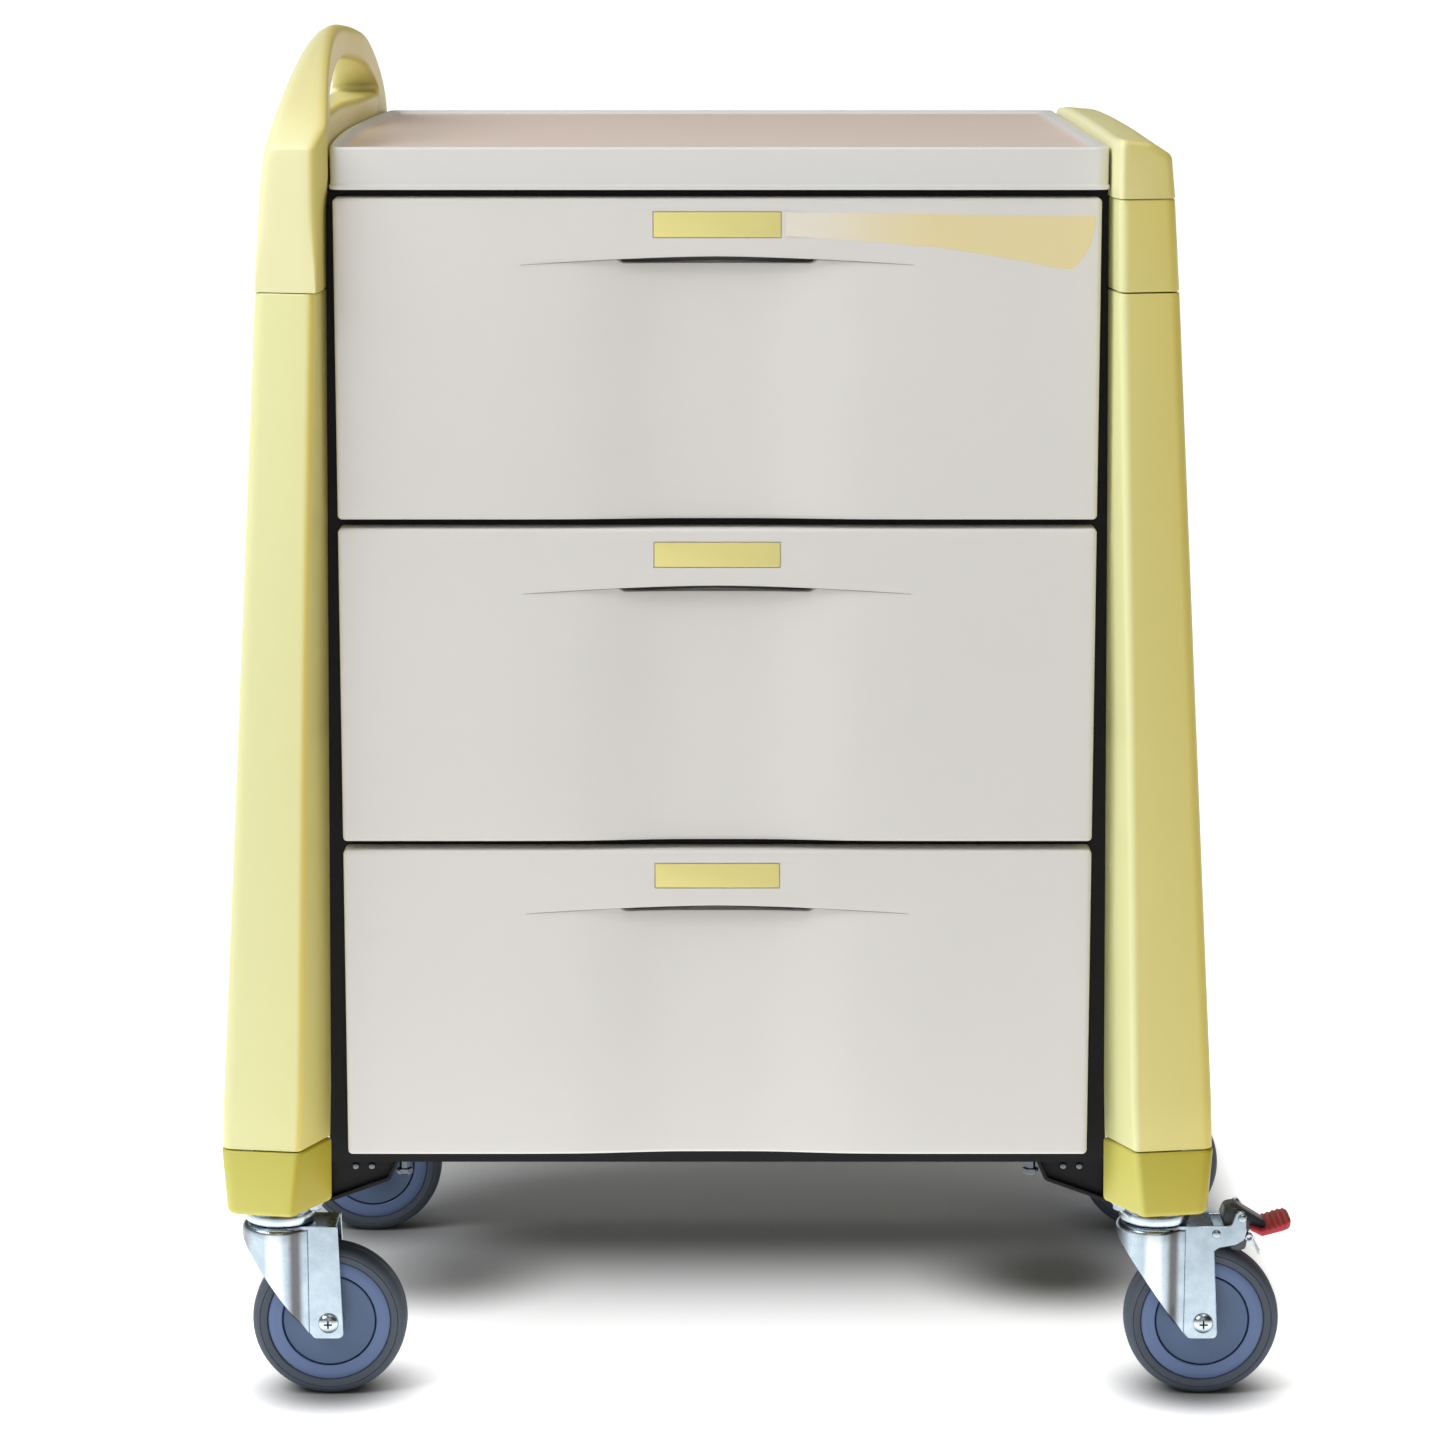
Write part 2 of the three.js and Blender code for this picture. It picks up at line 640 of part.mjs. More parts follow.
// foot pad on the end of the lever: it dips, then rises to its tip with ribs across the top
function brakePedal() {
  const [first, base] = PEDAL_TOP[2];
  const pitch = (PEDAL_TIP - first) / PEDAL_RIBS;
  const ribs = [];
  for (let i = 0; i < PEDAL_RIBS; i += 1) {
    const from = first + i * pitch;
    const foot = base + PEDAL_RISE * i * pitch;
    ribs.push([from + pitch * 0.5, foot + PEDAL_RISE * pitch * 0.5]);
    ribs.push([from + pitch * 0.6, foot + PEDAL_RISE * pitch * 0.6 + RIB_HEIGHT]);
    ribs.push([from + pitch, foot + PEDAL_RISE * pitch + RIB_HEIGHT * (i === PEDAL_RIBS - 1 ? 1 : 0)]);
  }
  const shape = outline([
    [PEDAL_ROOT, 140],
    PEDAL_KNEE,
    [PEDAL_TIP, 142],
    ...ribs.reverse(),
    ...[...PEDAL_TOP].reverse(),
  ]);
  return prismY(shape, -PEDAL_HALF, PEDAL_HALF);
}

// ---- materials ----
const material = (color, roughness, metalness = 0) => (
  new THREE.MeshStandardMaterial({ color, roughness, metalness })
);
const paint = {
  drawer: material(0xd2d1cd, 0.5),
  deck: material(0xcfcfcb, 0.45),
  cream: material(0xf0edb4, 0.45),
  bumper: material(0xd4cf68, 0.5),
  black: material(0x0c0c0e, 0.6),
  tint: material(0xdbcf86, 0.4),
  steel: material(0xb8c2cc, 0.35, 0.9),
  tyre: material(0x4e596d, 0.8),
  hub: material(0x586c8d, 0.55),
  red: material(0xb01c20, 0.55),
  dark: material(0x33363c, 0.6),
};

// ---- assembly ----
const chest = new THREE.Group();
chest.position.x = FOOTPRINT_SHIFT;

function add(name, geometry, finish, parent = chest) {
  const mesh = new THREE.Mesh(closed(geometry), finish);
  mesh.name = name;
  parent.add(mesh);
}

add('front_frame', frontFrame(), paint.black);
add('back_panel', backPanel(), paint.black);
add('base_pan', basePan(), paint.black);
add('work_surface', workSurface(), paint.deck);
for (const [name, side] of [['left', -1], ['right', 1]]) {
  add(`side_panel_${name}`, sidePanel(side), paint.black);
  add(`${name}_cover`, coverShell(side, BUMPER_TOP + GAP, COVER_TOP), paint.cream);
  add(`${name}_bumper`, coverShell(side, BUMPER_BOTTOM + GAP, BUMPER_TOP), paint.bumper);
}
add('push_handle', pushHandle(), paint.cream);
add('right_band', coverShell(1, COVER_TOP + GAP, BAND_TOP), paint.cream);
add('right_cap', rightCap(), paint.cream);

for (const i of drawers) {
  const n = i + 1;
  add(`drawer_front_${n}`, drawerFront(i), paint.drawer);
  add(`drawer_insert_${n}`, drawerInsert(i), paint.tint);
  add(`drawer_tray_${n}`, drawerTray(i), paint.drawer);
  for (const [name, side] of [['left', -1], ['right', 1]]) {
    add(`slide_inner_${n}_${name}`, innerSlide(i, side), paint.steel);
    add(`slide_rail_${n}_${name}`, outerRail(i, side), paint.steel);
  }
}

const corners = [['front_left', -1, -1], ['front_right', 1, -1], ['rear_left', -1, 1], ['rear_right', 1, 1]];
for (const [name, side, end] of corners) {
  add(`outrigger_${name}`, outrigger(side, end), paint.black);
  const caster = new THREE.Group();
  caster.position.set(side * CASTER_X, end * CASTER_Y, 0);
  chest.add(caster);
  const wheel = new THREE.Group();
  wheel.position.set(TRAIL, 0, WHEEL_RADIUS);
  caster.add(wheel);
  const braked = name === 'front_right';
  add(`caster_plate_${name}`, casterPlate(), paint.steel, caster);
  add(`caster_fork_${name}`, casterFork(braked), paint.steel, caster);
  add(`caster_axle_${name}`, casterAxle(), paint.steel, wheel);
  add(`caster_tyre_${name}`, casterTyre(), paint.tyre, wheel);
  add(`caster_hub_${name}`, casterHub(), paint.hub, wheel);
  if (braked) {
    add('brake_lever', brakeLever(), paint.dark, caster);
    add('brake_pedal', brakePedal(), paint.red, caster);
  }
}

export default chest;
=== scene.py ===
"""Looks of the rolling drawer chest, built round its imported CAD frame.

Lengths are millimetres from the cabinet's middle plane (x), its middle depth (y) and the floor (z);
place() turns them into metres in the CAD frame.
"""

import json
import math

import bmesh
import bpy
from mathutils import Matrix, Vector


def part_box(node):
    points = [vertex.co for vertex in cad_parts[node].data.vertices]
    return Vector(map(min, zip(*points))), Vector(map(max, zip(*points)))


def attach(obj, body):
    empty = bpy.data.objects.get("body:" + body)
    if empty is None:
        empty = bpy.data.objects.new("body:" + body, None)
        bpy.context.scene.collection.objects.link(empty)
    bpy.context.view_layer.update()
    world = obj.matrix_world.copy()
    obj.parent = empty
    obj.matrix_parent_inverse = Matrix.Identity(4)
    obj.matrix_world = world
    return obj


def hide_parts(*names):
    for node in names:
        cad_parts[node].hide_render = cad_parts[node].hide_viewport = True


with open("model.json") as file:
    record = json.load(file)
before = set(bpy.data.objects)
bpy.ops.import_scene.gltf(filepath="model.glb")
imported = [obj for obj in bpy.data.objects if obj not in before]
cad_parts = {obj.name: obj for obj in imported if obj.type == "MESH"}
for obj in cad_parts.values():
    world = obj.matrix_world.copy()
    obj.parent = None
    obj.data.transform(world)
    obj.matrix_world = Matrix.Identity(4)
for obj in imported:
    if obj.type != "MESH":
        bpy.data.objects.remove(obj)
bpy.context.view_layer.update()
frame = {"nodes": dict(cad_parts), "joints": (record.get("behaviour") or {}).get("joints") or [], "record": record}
MM = 0.001
JOINTS = {joint["name"]: joint for joint in frame["joints"]}
CORNERS = ("front_left", "front_right", "rear_left", "rear_right")


def cad_mm(node):
    """Lowest and highest corner of a CAD node in millimetres from the cabinet's middle."""
    low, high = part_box(node)
    shift = Vector((MIDDLE_X, 0, 0))
    return (low - shift) / MM, (high - shift) / MM


def cad_half(node):
    """Half of a CAD node's size along each axis."""
    low, high = cad_mm(node)
    return (high - low) / 2


MIDDLE_X = sum(corner.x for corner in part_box("drawer_front_1")) / 2

FRONT_LOW, FRONT_HIGH = cad_mm("drawer_front_1")
DECK_LOW, DECK_HIGH = cad_mm("work_surface")
INSERT_LOW, INSERT_HIGH = cad_mm("drawer_insert_1")
INSERT_HALF = INSERT_HIGH.x
HANDLE_LOW, HANDLE_HIGH = cad_mm("push_handle")

DEPTH_HALF = cad_mm("left_cover")[1].y
COVER_WALL = 4.0
TIP_Y = 258
SEAM_ROUND = 1.5
SEAM_GAP = 0.35

OUTER_EDGE = ((170, 388.6), (224, 392.5), (549, 373.2), (901, 352.5), (972, 347.7), (1007, 344))
CREASE = ((170, 335.5), (224, 329), (267, 326.6), (555, 318), (903, 305.5), (1020, 303))
INNER_EDGE = ((170, 309), (972, 300), (1020, 300))


def place(x, y, z):
    return Vector((MIDDLE_X + x * MM, y * MM, z * MM))


def mix(a, b, t):
    return a + (b - a) * t


def clamp(t):
    return min(1.0, max(0.0, t))


def ease(t):
    t = clamp(t)
    return t * t * (3 - 2 * t)


def read(table, z):
    """Straight-line reading of a table of (height, value)."""
    if z <= table[0][0]:
        return table[0][1]
    for (z0, v0), (z1, v1) in zip(table, table[1:]):
        if z <= z1:
            return mix(v0, v1, (z - z0) / (z1 - z0))
    return table[-1][1]


def shown(name, data):
    obj = bpy.data.objects.new(name, data)
    bpy.context.scene.collection.objects.link(obj)
    return obj


# ---- meshes ----
def piece(name, part, material, body, smooth=35):
    """A part (points in millimetres, faces) as a mesh on a body, in place of the CAD node of its name."""
    points, faces = part
    mesh = bpy.data.meshes.new(name)
    mesh.from_pydata([place(*point) for point in points], [], faces)
    mesh.validate()
    mesh.update()
    fix_normals(mesh)
    mesh.shade_smooth()
    mesh.set_sharp_from_angle(angle=math.radians(smooth))
    mesh.materials.append(material)
    obj = shown(name, mesh)
    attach(obj, body)
    if name in frame["nodes"]:
        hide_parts(name)
    return obj


def fix_normals(mesh):
    edit = bmesh.new()
    edit.from_mesh(mesh)
    bmesh.ops.remove_doubles(edit, verts=edit.verts, dist=1e-6)
    bmesh.ops.recalc_face_normals(edit, faces=edit.faces)
    edit.to_mesh(mesh)
    edit.free()


def skin(rings, closed_rows=False, closed_ring=True):
    """Points and faces of a skin through rings of equal length."""
    count = len(rings[0])
    points = [point for ring in rings for point in ring]
    faces = []
    rows = len(rings) if closed_rows else len(rings) - 1
    columns = count if closed_ring else count - 1
    for row in range(rows):
        below = row * count
        above = ((row + 1) % len(rings)) * count
        for i in range(columns):
            j = (i + 1) % count
            faces.append((below + i, below + j, above + j, above + i))
    if closed_ring and not closed_rows:
        faces.append(tuple(reversed(range(count))))
        faces.append(tuple(range(len(points) - count, len(points))))
    return points, faces


def joined(parts):
    """One list of points and faces from several."""
    points, faces = [], []
    for more_points, more_faces in parts:
        start = len(points)
        points += more_points
        faces += [tuple(i + start for i in face) for face in more_faces]
    return points, faces


def border(rows, columns):
    """Numbers of the points round the edge of a grid, once round."""
    edge = [i * columns for i in range(rows)]
    edge += [(rows - 1) * columns + j for j in range(1, columns)]
    edge += [i * columns + columns - 1 for i in range(rows - 2, -1, -1)]
    return edge + list(range(columns - 2, 0, -1))


def walled(part, edge, levels):
    """The part with walls carried on from its edge through rings of points, and closed by the last."""
    points, faces = part
    count = len(edge)
    for level in levels:
        start = len(points)
        points += level
        now = list(range(start, start + count))
        faces += [(edge[k - 1], edge[k], now[k], now[k - 1]) for k in range(count)]
        edge = now
    faces.append(tuple(edge))
    return points, faces


def filleted(corners, steps=5, closed=False):
    """A path through corners (u, v, radius) with each inner corner rounded."""
    path = []
    count = len(corners)
    for i, (u, v, radius) in enumerate(corners):
        if radius == 0 or (not closed and i in (0, count - 1)):
            path.append((u, v))
            continue
        here = Vector((u, v))
        back = Vector(corners[i - 1][:2]) - here
        ahead = Vector(corners[(i + 1) % count][:2]) - here
        half = back.angle(ahead) / 2
        reach = min(radius / math.tan(half), back.length * 0.49, ahead.length * 0.49)
        start = here + back.normalized() * reach
        end = here + ahead.normalized() * reach
        for t in [k / steps for k in range(steps + 1)]:
            point = start.lerp(here, t).lerp(here.lerp(end, t), t)
            path.append((point.x, point.y))
    return path


def squeezed(u, v):
    """A point of the unit square moved into the unit circle."""
    return u * math.sqrt(1 - v * v / 2), v * math.sqrt(1 - u * u / 2)


def quarter(steps, radius):
    """(Distance to the end, shrink) along a rounded edge, from where it starts to the end."""
    angles = [math.pi / 2 * k / steps for k in range(steps + 1)]
    return [(radius * (1 - math.sin(a)), radius * (1 - math.cos(a))) for a in angles]


def heading(path, i):
    """Direction of an open path at one of its points."""
    return (Vector(path[min(i + 1, len(path) - 1)]) - Vector(path[max(i - 1, 0)])).normalized()


def inset(path, distance):
    """The open path moved sideways, to its left, by distance."""
    ways = [heading(path, i) for i in range(len(path))]
    return [(u - way.y * distance, v + way.x * distance) for (u, v), way in zip(path, ways)]


def lathe(profile, steps=64, axis="z", centre=(0, 0, 0)):
    """Rings of a turned shape. The profile is (radius, height); a radius of 0 closes it."""
    rings = []
    for k in range(steps):
        angle = math.tau * k / steps
        ring = []
        for radius, height in profile:
            a, b = radius * math.cos(angle), radius * math.sin(angle)
            ring.append(tuple(c + s for c, s in zip(centre, spot(axis, height, a, b))))
        rings.append(ring)
    return skin(rings, closed_rows=True, closed_ring=profile[0][0] != 0)


# ---- materials ----
class Nodes:
    """Short hands for building a node tree."""

    def __init__(self, tree):
        self.tree = tree
        self.position = self.new("TexCoord").outputs["Object"]

    def new(self, kind, **choices):
        node = self.tree.nodes.new("ShaderNode" + kind)
        for key, value in choices.items():
            setattr(node, key, value)
        return node

    def feed(self, socket, value):
        if isinstance(value, bpy.types.NodeSocket):
            self.tree.links.new(value, socket)
        else:
            socket.default_value = value

    def axes(self, vector):
        node = self.new("SeparateXYZ")
        self.feed(node.inputs["Vector"], vector)
        return node.outputs

    def distance(self, spot):
        """Distance from a place, in metres."""
        node = self.new("VectorMath", operation="DISTANCE")
        self.feed(node.inputs[0], self.position)
        self.feed(node.inputs[1], spot)
        return node.outputs["Value"]

    def noise(self, scale, detail=3.0, rough=0.5):
        node = self.new("TexNoise")
        inputs = (("Vector", self.position), ("Scale", scale), ("Detail", detail), ("Roughness", rough))
        for key, value in inputs:
            self.feed(node.inputs[key], value)
        return node.outputs["Fac"]

    def math(self, kind, *values):
        node = self.new("Math", operation=kind)
        for socket, value in zip(node.inputs, values):
            self.feed(socket, value)
        return node.outputs["Value"]

    def map(self, value, key, low, high, **choices):
        node = self.new("MapRange", **choices)
        self.feed(node.inputs["Value"], value)
        node.inputs[key + " Min"].default_value = low
        node.inputs[key + " Max"].default_value = high
        return node.outputs["Result"]

    def ramp(self, value, start, end):
        """Smooth step from 0 at start to 1 at end."""
        return self.map(value, "From", start, end, interpolation_type="SMOOTHSTEP")

    def spread(self, value, low, high):
        """A share of 0 to 1, spread from low to high."""
        return self.map(value, "To", low, high)

    def blend(self, factor, *colors):
        node = self.new("Mix", data_type="RGBA")
        self.feed(node.inputs[0], factor)
        for socket, color in zip((node.inputs[6], node.inputs[7]), colors):
            self.feed(socket, (*color, 1) if isinstance(color, tuple) else color)
        return node.outputs[2]


class Finish(Nodes):
    """A material and the nodes behind its shader."""

    def __init__(self, name, slot=None):
        self.material = bpy.data.materials.new(name)
        self.material.use_nodes = True
        self.material["slot"] = slot or name
        super().__init__(self.material.node_tree)
        self.shader = self.tree.nodes["Principled BSDF"]

    def across(self, start, end):
        """Smooth step over x, from 0 at start to 1 at end, both in millimetres."""
        return self.ramp(self.axes(self.position)["X"], place(start, 0, 0).x, place(end, 0, 0).x)

    def mottled(self, scale, color, swing):
        """A colour that clouds a little lighter and darker."""
        return self.blend(self.noise(scale, 2.0), shade(color, 1 - swing), shade(color, 1 + swing))

    def set(self, **inputs):
        for key, value in inputs.items():
            self.feed(self.shader.inputs[key.replace("_", " ")], value)

    def bump(self, height, distance):
        node = self.new("Bump")
        self.feed(node.inputs["Height"], height)
        node.inputs["Distance"].default_value = distance
        self.feed(self.shader.inputs["Normal"], node.outputs["Normal"])

    def rubbed(self, smooth, worn):
        return self.spread(self.noise(70.0, detail=6.0, rough=0.7), smooth, worn)

    def grained(self, distance=0.00005):
        """Fine moulded texture."""
        self.bump(self.noise(1400.0, detail=2.0), distance)
        return self.material


def linear(*levels):
    """An sRGB colour of 0 to 255 as linear light."""
    shares = [level / 255 for level in levels]
    return tuple(c / 12.92 if c <= 0.04045 else ((c + 0.055) / 1.055) ** 2.4 for c in shares)


def shade(color, factor):
    return tuple(min(1, c * factor) for c in color)


def moulded(name, color, rough=0.42, slot=None):
    """Satin moulded plastic: faint mottling in colour, fine texture in the surface."""
    nodes = Finish(name, slot)
    wear = nodes.noise(38.0, detail=5.0, rough=0.65)
    nodes.set(Base_Color=nodes.mottled(6.0, color, 0.03))
    nodes.set(Roughness=nodes.spread(wear, rough - 0.05, rough + 0.07))
    return nodes.grained(0.00006)


def shade_tinted(name, pale, deep, side_share=0.55, slot=None):
    """Pale plastic with painted shade: its colour is deeper on the flanks that face +x, away from the key light,
    and only by side_share on faces turned fully sideways.
    """
    nodes = Finish(name, slot)
    facing = nodes.axes(nodes.new("NewGeometry").outputs["Normal"])["X"]
    side_on = nodes.spread(nodes.ramp(facing, 0.8, 0.98), 1.0, side_share)
    painted_shade = nodes.math("MULTIPLY", nodes.ramp(facing, -0.3, 0.45), side_on)
    pale = nodes.mottled(5.0, pale, 0.02)
    deep = nodes.mottled(5.0, deep, 0.03)
    nodes.set(Base_Color=nodes.blend(painted_shade, pale, deep), Roughness=nodes.rubbed(0.34, 0.48))
    return nodes.grained()


def reflection_tinted(name, side, top):
    """Moulded plastic with a warmer tone painted on the dished top inside the lips, a painted reflection of the
    room, and slightly rubbed roughness.
    """
    nodes = Finish(name)
    flat = nodes.ramp(nodes.axes(nodes.new("NewGeometry").outputs["Normal"])["Z"], 0.9, 0.99)
    height = nodes.axes(nodes.position)["Z"]
    lip = (DECK_HIGH.z - 0.6) * MM
    up = nodes.math("MULTIPLY", flat, nodes.ramp(height, lip, lip - 0.001))
    painted_reflection = nodes.mottled(5.0, top, 0.03)
    lower = nodes.mottled(5.0, side, 0.02)
    nodes.set(Base_Color=nodes.blend(up, lower, painted_reflection), Roughness=nodes.rubbed(0.3, 0.46))
    return nodes.grained()


def faded(name, slot, start, end):
    """Print that fades in from the insert plate towards the right."""
    nodes = Finish(name, slot)
    fade = nodes.across(INSERT_HALF, INSERT_HALF + 130)
    nodes.set(Base_Color=nodes.blend(fade, start, end), Roughness=nodes.rubbed(0.34, 0.46))
    return nodes.material


def zinc(name, dark, pale):
    """Bright zinc plate: bluish metal, faint streaks and spangle."""
    nodes = Finish(name, "zinc_steel")
    return plated(nodes, spangled(nodes, dark, pale), 0.16)


def spangled(nodes, dark, pale):
    return nodes.blend(nodes.noise(90.0, detail=4.0), linear(*dark), linear(*pale))


def plated(nodes, tone, smooth):
    """Streaked metal under a plate of the given tone."""
    streak = nodes.noise(260.0, detail=6.0, rough=0.7)
    nodes.set(Base_Color=tone, Metallic=1.0, Roughness=nodes.spread(streak, smooth, 0.34))
    nodes.bump(streak, 0.00003)
    return nodes.material


def rubber(name, color):
    """Tyre rubber: matt, a little dusty where it is worn."""
    nodes = Finish(name)
    dust = nodes.noise(55.0, detail=6.0, rough=0.7)
    tone = nodes.blend(dust, shade(color, 0.85), shade(color, 1.2))
    nodes.set(Base_Color=tone, Roughness=nodes.spread(dust, 0.55, 0.75), Specular_IOR_Level=0.45)
    nodes.bump(nodes.noise(900.0, detail=3.0), 0.0001)
    return nodes.material


def coated(name):
    """Black powder coat with its fine orange peel."""
    nodes = Finish(name)
    cloud = nodes.noise(12.0)
    tone = nodes.blend(cloud, linear(9, 9, 13), linear(15, 15, 20))
    nodes.set(Base_Color=tone, Roughness=nodes.spread(cloud, 0.42, 0.55), Specular_IOR_Level=0.25)
    nodes.bump(nodes.noise(700.0, detail=1.0), 0.0001)
    return nodes.material


GREY = moulded("drawer_plastic", linear(224, 221, 216))
# Painted shade: a dark copy of the drawer plastic for the faces deep in the finger pocket.
POCKET_SHADE = moulded("drawer_pocket", linear(92, 90, 90), 0.6, "drawer_plastic")
# Painted shadow: a darker copy of the drawer plastic for the step under the brow beside the slot.
CREASE_SHADOW = moulded("drawer_crease", linear(150, 141, 134), 0.5, "drawer_plastic")
TRAY = moulded("tray_plastic", linear(205, 205, 203), 0.5)
# The second colour is painted reflection: the warm tone the dished top shows from the room.
DECK = reflection_tinted("deck_plastic", linear(222, 221, 217), linear(234, 214, 200))
# The second colour of each of these three is painted shade, for the flanks that face +x.
CREAM = shade_tinted("cream_plastic", linear(230, 229, 170), linear(230, 211, 108))
HANDLE_CREAM = shade_tinted("handle_plastic", linear(238, 234, 182), linear(228, 212, 122), 1.0, "cream_plastic")
BUMPER = shade_tinted("bumper_plastic", linear(202, 197, 96), linear(188, 170, 34))
AMBER = moulded("insert_plastic", linear(234, 223, 142), 0.32)
DECAL = faded("decal_print", "insert_plastic", linear(236, 229, 214), linear(233, 218, 164))
HUB = moulded("hub_plastic", linear(94, 114, 154), 0.5)
HUB_DARK = moulded("hub_cap_plastic", linear(80, 100, 132), 0.5, "hub_plastic")
LEVER = moulded("lever_plastic", linear(62, 66, 72), 0.4)
PEDAL = moulded("pedal_plastic", linear(190, 52, 66), 0.45)
BLACK = coated("black_steel")
ZINC = zinc("zinc_steel", (176, 190, 198), (222, 232, 238))
# A darker copy of the zinc: painted shade for the bolts and nut under the chest.
SHADED_ZINC = zinc("dull_bolts", (96, 102, 110), (126, 132, 140))
TYRE = rubber("tyre_rubber", linear(72, 80, 92))


# ---- side covers ----
def cover_path(z, shrink):
    """Half of the outer plan path at height z, from the front tip to the middle of the side."""
    outer, crease, inner = (read(table, z) for table in (OUTER_EDGE, CREASE, INNER_EDGE))
    corners = ((inner, TIP_Y, 0), (crease, DEPTH_HALF, 7), (outer, DEPTH_HALF - 10, 11), (outer, 0, 0))
    return inset(filleted(corners, steps=7), -shrink)


def cover(name, side, material, low_round=SEAM_ROUND, high_round=SEAM_ROUND, tuck=0.0):
    """An open channel, its two ends softened and its foot tucked in."""
    low, high = (corner.z for corner in cad_mm(name))
    low, high = low + SEAM_GAP, high - SEAM_GAP
    levels = [(low + up, shrink) for up, shrink in reversed(quarter(3, low_round))]
    levels += [(z, 0.0) for z in sorted({z for z, _ in OUTER_EDGE + CREASE if low + 12 < z < high - 12})]
    levels += [(high - down, shrink) for down, shrink in quarter(3, high_round)]

    def ring(z, shrink):
        half = cover_path(z, shrink)
        whole = [(u, -v) for u, v in half] + half[-2::-1]
        return [(side * u, v, z) for u, v in whole]

    outside = [ring(z, shrink + tuck * (1 - ease((z - low) / 10))) for z, shrink in levels]
    inside = [ring(z, COVER_WALL) for z, _ in levels]
    points, faces = skin(outside + inside[::-1], closed_rows=True, closed_ring=False)
    rows, count = len(levels), len(outside[0])
    for end in (0, count - 1):
        for k in range(rows - 1):
            around = (k, k + 1, 2 * rows - 2 - k, 2 * rows - 1 - k)
            faces.append([row * count + end for row in around])
    piece(name, (points, faces), material, "root")


def side_covers():
    hands = (("left", -1), ("right", 1))
    for hand, side in hands:
        cover(f"{hand}_cover", side, CREAM, tuck=1.0)
    for hand, side in hands:
        cover(f"{hand}_bumper", side, BUMPER, low_round=5, high_round=2)
    cover("right_band", 1, CREAM)


# ---- push handle ----
ARCH_HALF = 300
ARCH_FOOT = 1009.0
SLOT_FRONT, SLOT_REAR = 192, 208
SLOT_FALL = (17, 29)
SLOT_SILL = 1031
SLOT_CROWN = 1066
SLOT_ROUND = 7.0
DECK_BOW = 11
DECK_REACH = 0.6 - DECK_LOW.x - DECK_BOW
HANDLE_OUTER = ((901, 352.5), (972, 347.7), (1000, 345), (1043, 334), (1076, 327), (1094, 323))


def arch_height(y):
    return ARCH_FOOT + (HANDLE_HIGH.z - ARCH_FOOT) * max(0.0, 1 - (y / ARCH_HALF) ** 2) ** 0.75


def receded(u, y):
    """y moved back towards the outer edge, so that the moulding's ends are rounded in plan."""
    return y - math.copysign(10 * max(0.0, (u - 305) / 45) * ease((abs(y) - 250) / 55), y)


def near_end(y):
    """0 along the side, 1 where the front and rear bevels are."""
    return ease((y - 280) / 22)


def handle_inner(y, z):
    """|x| of the inner face: hollow over the deck's bow, thicker to the rear, bevelled in front."""
    low = read(INNER_EDGE, z)
    bow = max(0.0, 1 - (y / ARCH_HALF) ** 2)
    swell = 0.8 * ease(y / 130) * ease((z - DECK_HIGH.z) / 14)
    high = DECK_REACH + DECK_BOW * bow * (1 - swell) + 0.03 * max(0.0, z - 1040)
    face = mix(low, high, ease((z - 972) / 10))
    return mix(face, read(CREASE, z) - 1.5, near_end(-y))


def handle_point(y, z, x_share, x_offset):
    u = mix(handle_inner(y, z), read(HANDLE_OUTER, z), x_share) + x_offset
    return (-u, receded(u, y), z)


def slot_top(t):
    y = mix(-SLOT_FRONT, SLOT_REAR, (1 - math.cos(math.pi * t)) / 2)
    end, fall = (SLOT_FRONT, SLOT_FALL[0]) if y < 0 else (SLOT_REAR, SLOT_FALL[1])
    return (y, SLOT_CROWN - fall * (y / end) ** 2)


def slot_end(t, sign):
    """Squared half circle at the slot's rear (sign 1) or front (sign -1)."""
    angle = math.pi * (0.5 - t) if sign > 0 else math.pi * (1.5 - t)
    half = (SLOT_CROWN - SLOT_FALL[sign > 0] - SLOT_SILL) / 2
    squared = math.copysign(abs(math.cos(angle)) ** 0.6, math.cos(angle))
    y = SLOT_REAR if sign > 0 else -SLOT_FRONT
    return (y + 6 * squared, SLOT_SILL + half + half * math.sin(angle))


def arch(t):
    y = -ARCH_HALF * math.cos(math.pi * t)
    rise = ARCH_FOOT if abs(y) > ARCH_HALF - 1e-6 else arch_height(y)
    return (math.copysign(min(abs(y) * (DEPTH_HALF / ARCH_HALF), DEPTH_HALF), y), rise)


def handle_stations():
    """Matching points round the handle's side view and round its hand slot, with the edge's radius."""
    base = HANDLE_LOW.z
    full, slight = 8.0, 1.5
    stations = [(arch(k / 90), slot_top(k / 90), full) for k in range(90)]
    for t in [k / 14 for k in range(14)]:
        spot = (DEPTH_HALF, mix(ARCH_FOOT, base, t))
        stations.append((spot, slot_end(t, 1), mix(full, slight, ease(t * 1.6))))
    for t in [k / 24 for k in range(24)]:
        spot = (mix(DEPTH_HALF, -DEPTH_HALF, t), base)
        stations.append((spot, (mix(SLOT_REAR, -SLOT_FRONT, t), SLOT_SILL), slight))
    for t in [k / 14 for k in range(14)]:
        spot = (-DEPTH_HALF, mix(base, ARCH_FOOT, t))
        stations.append((spot, slot_end(t, -1), mix(slight, full, ease(t * 1.6))))
    return stations


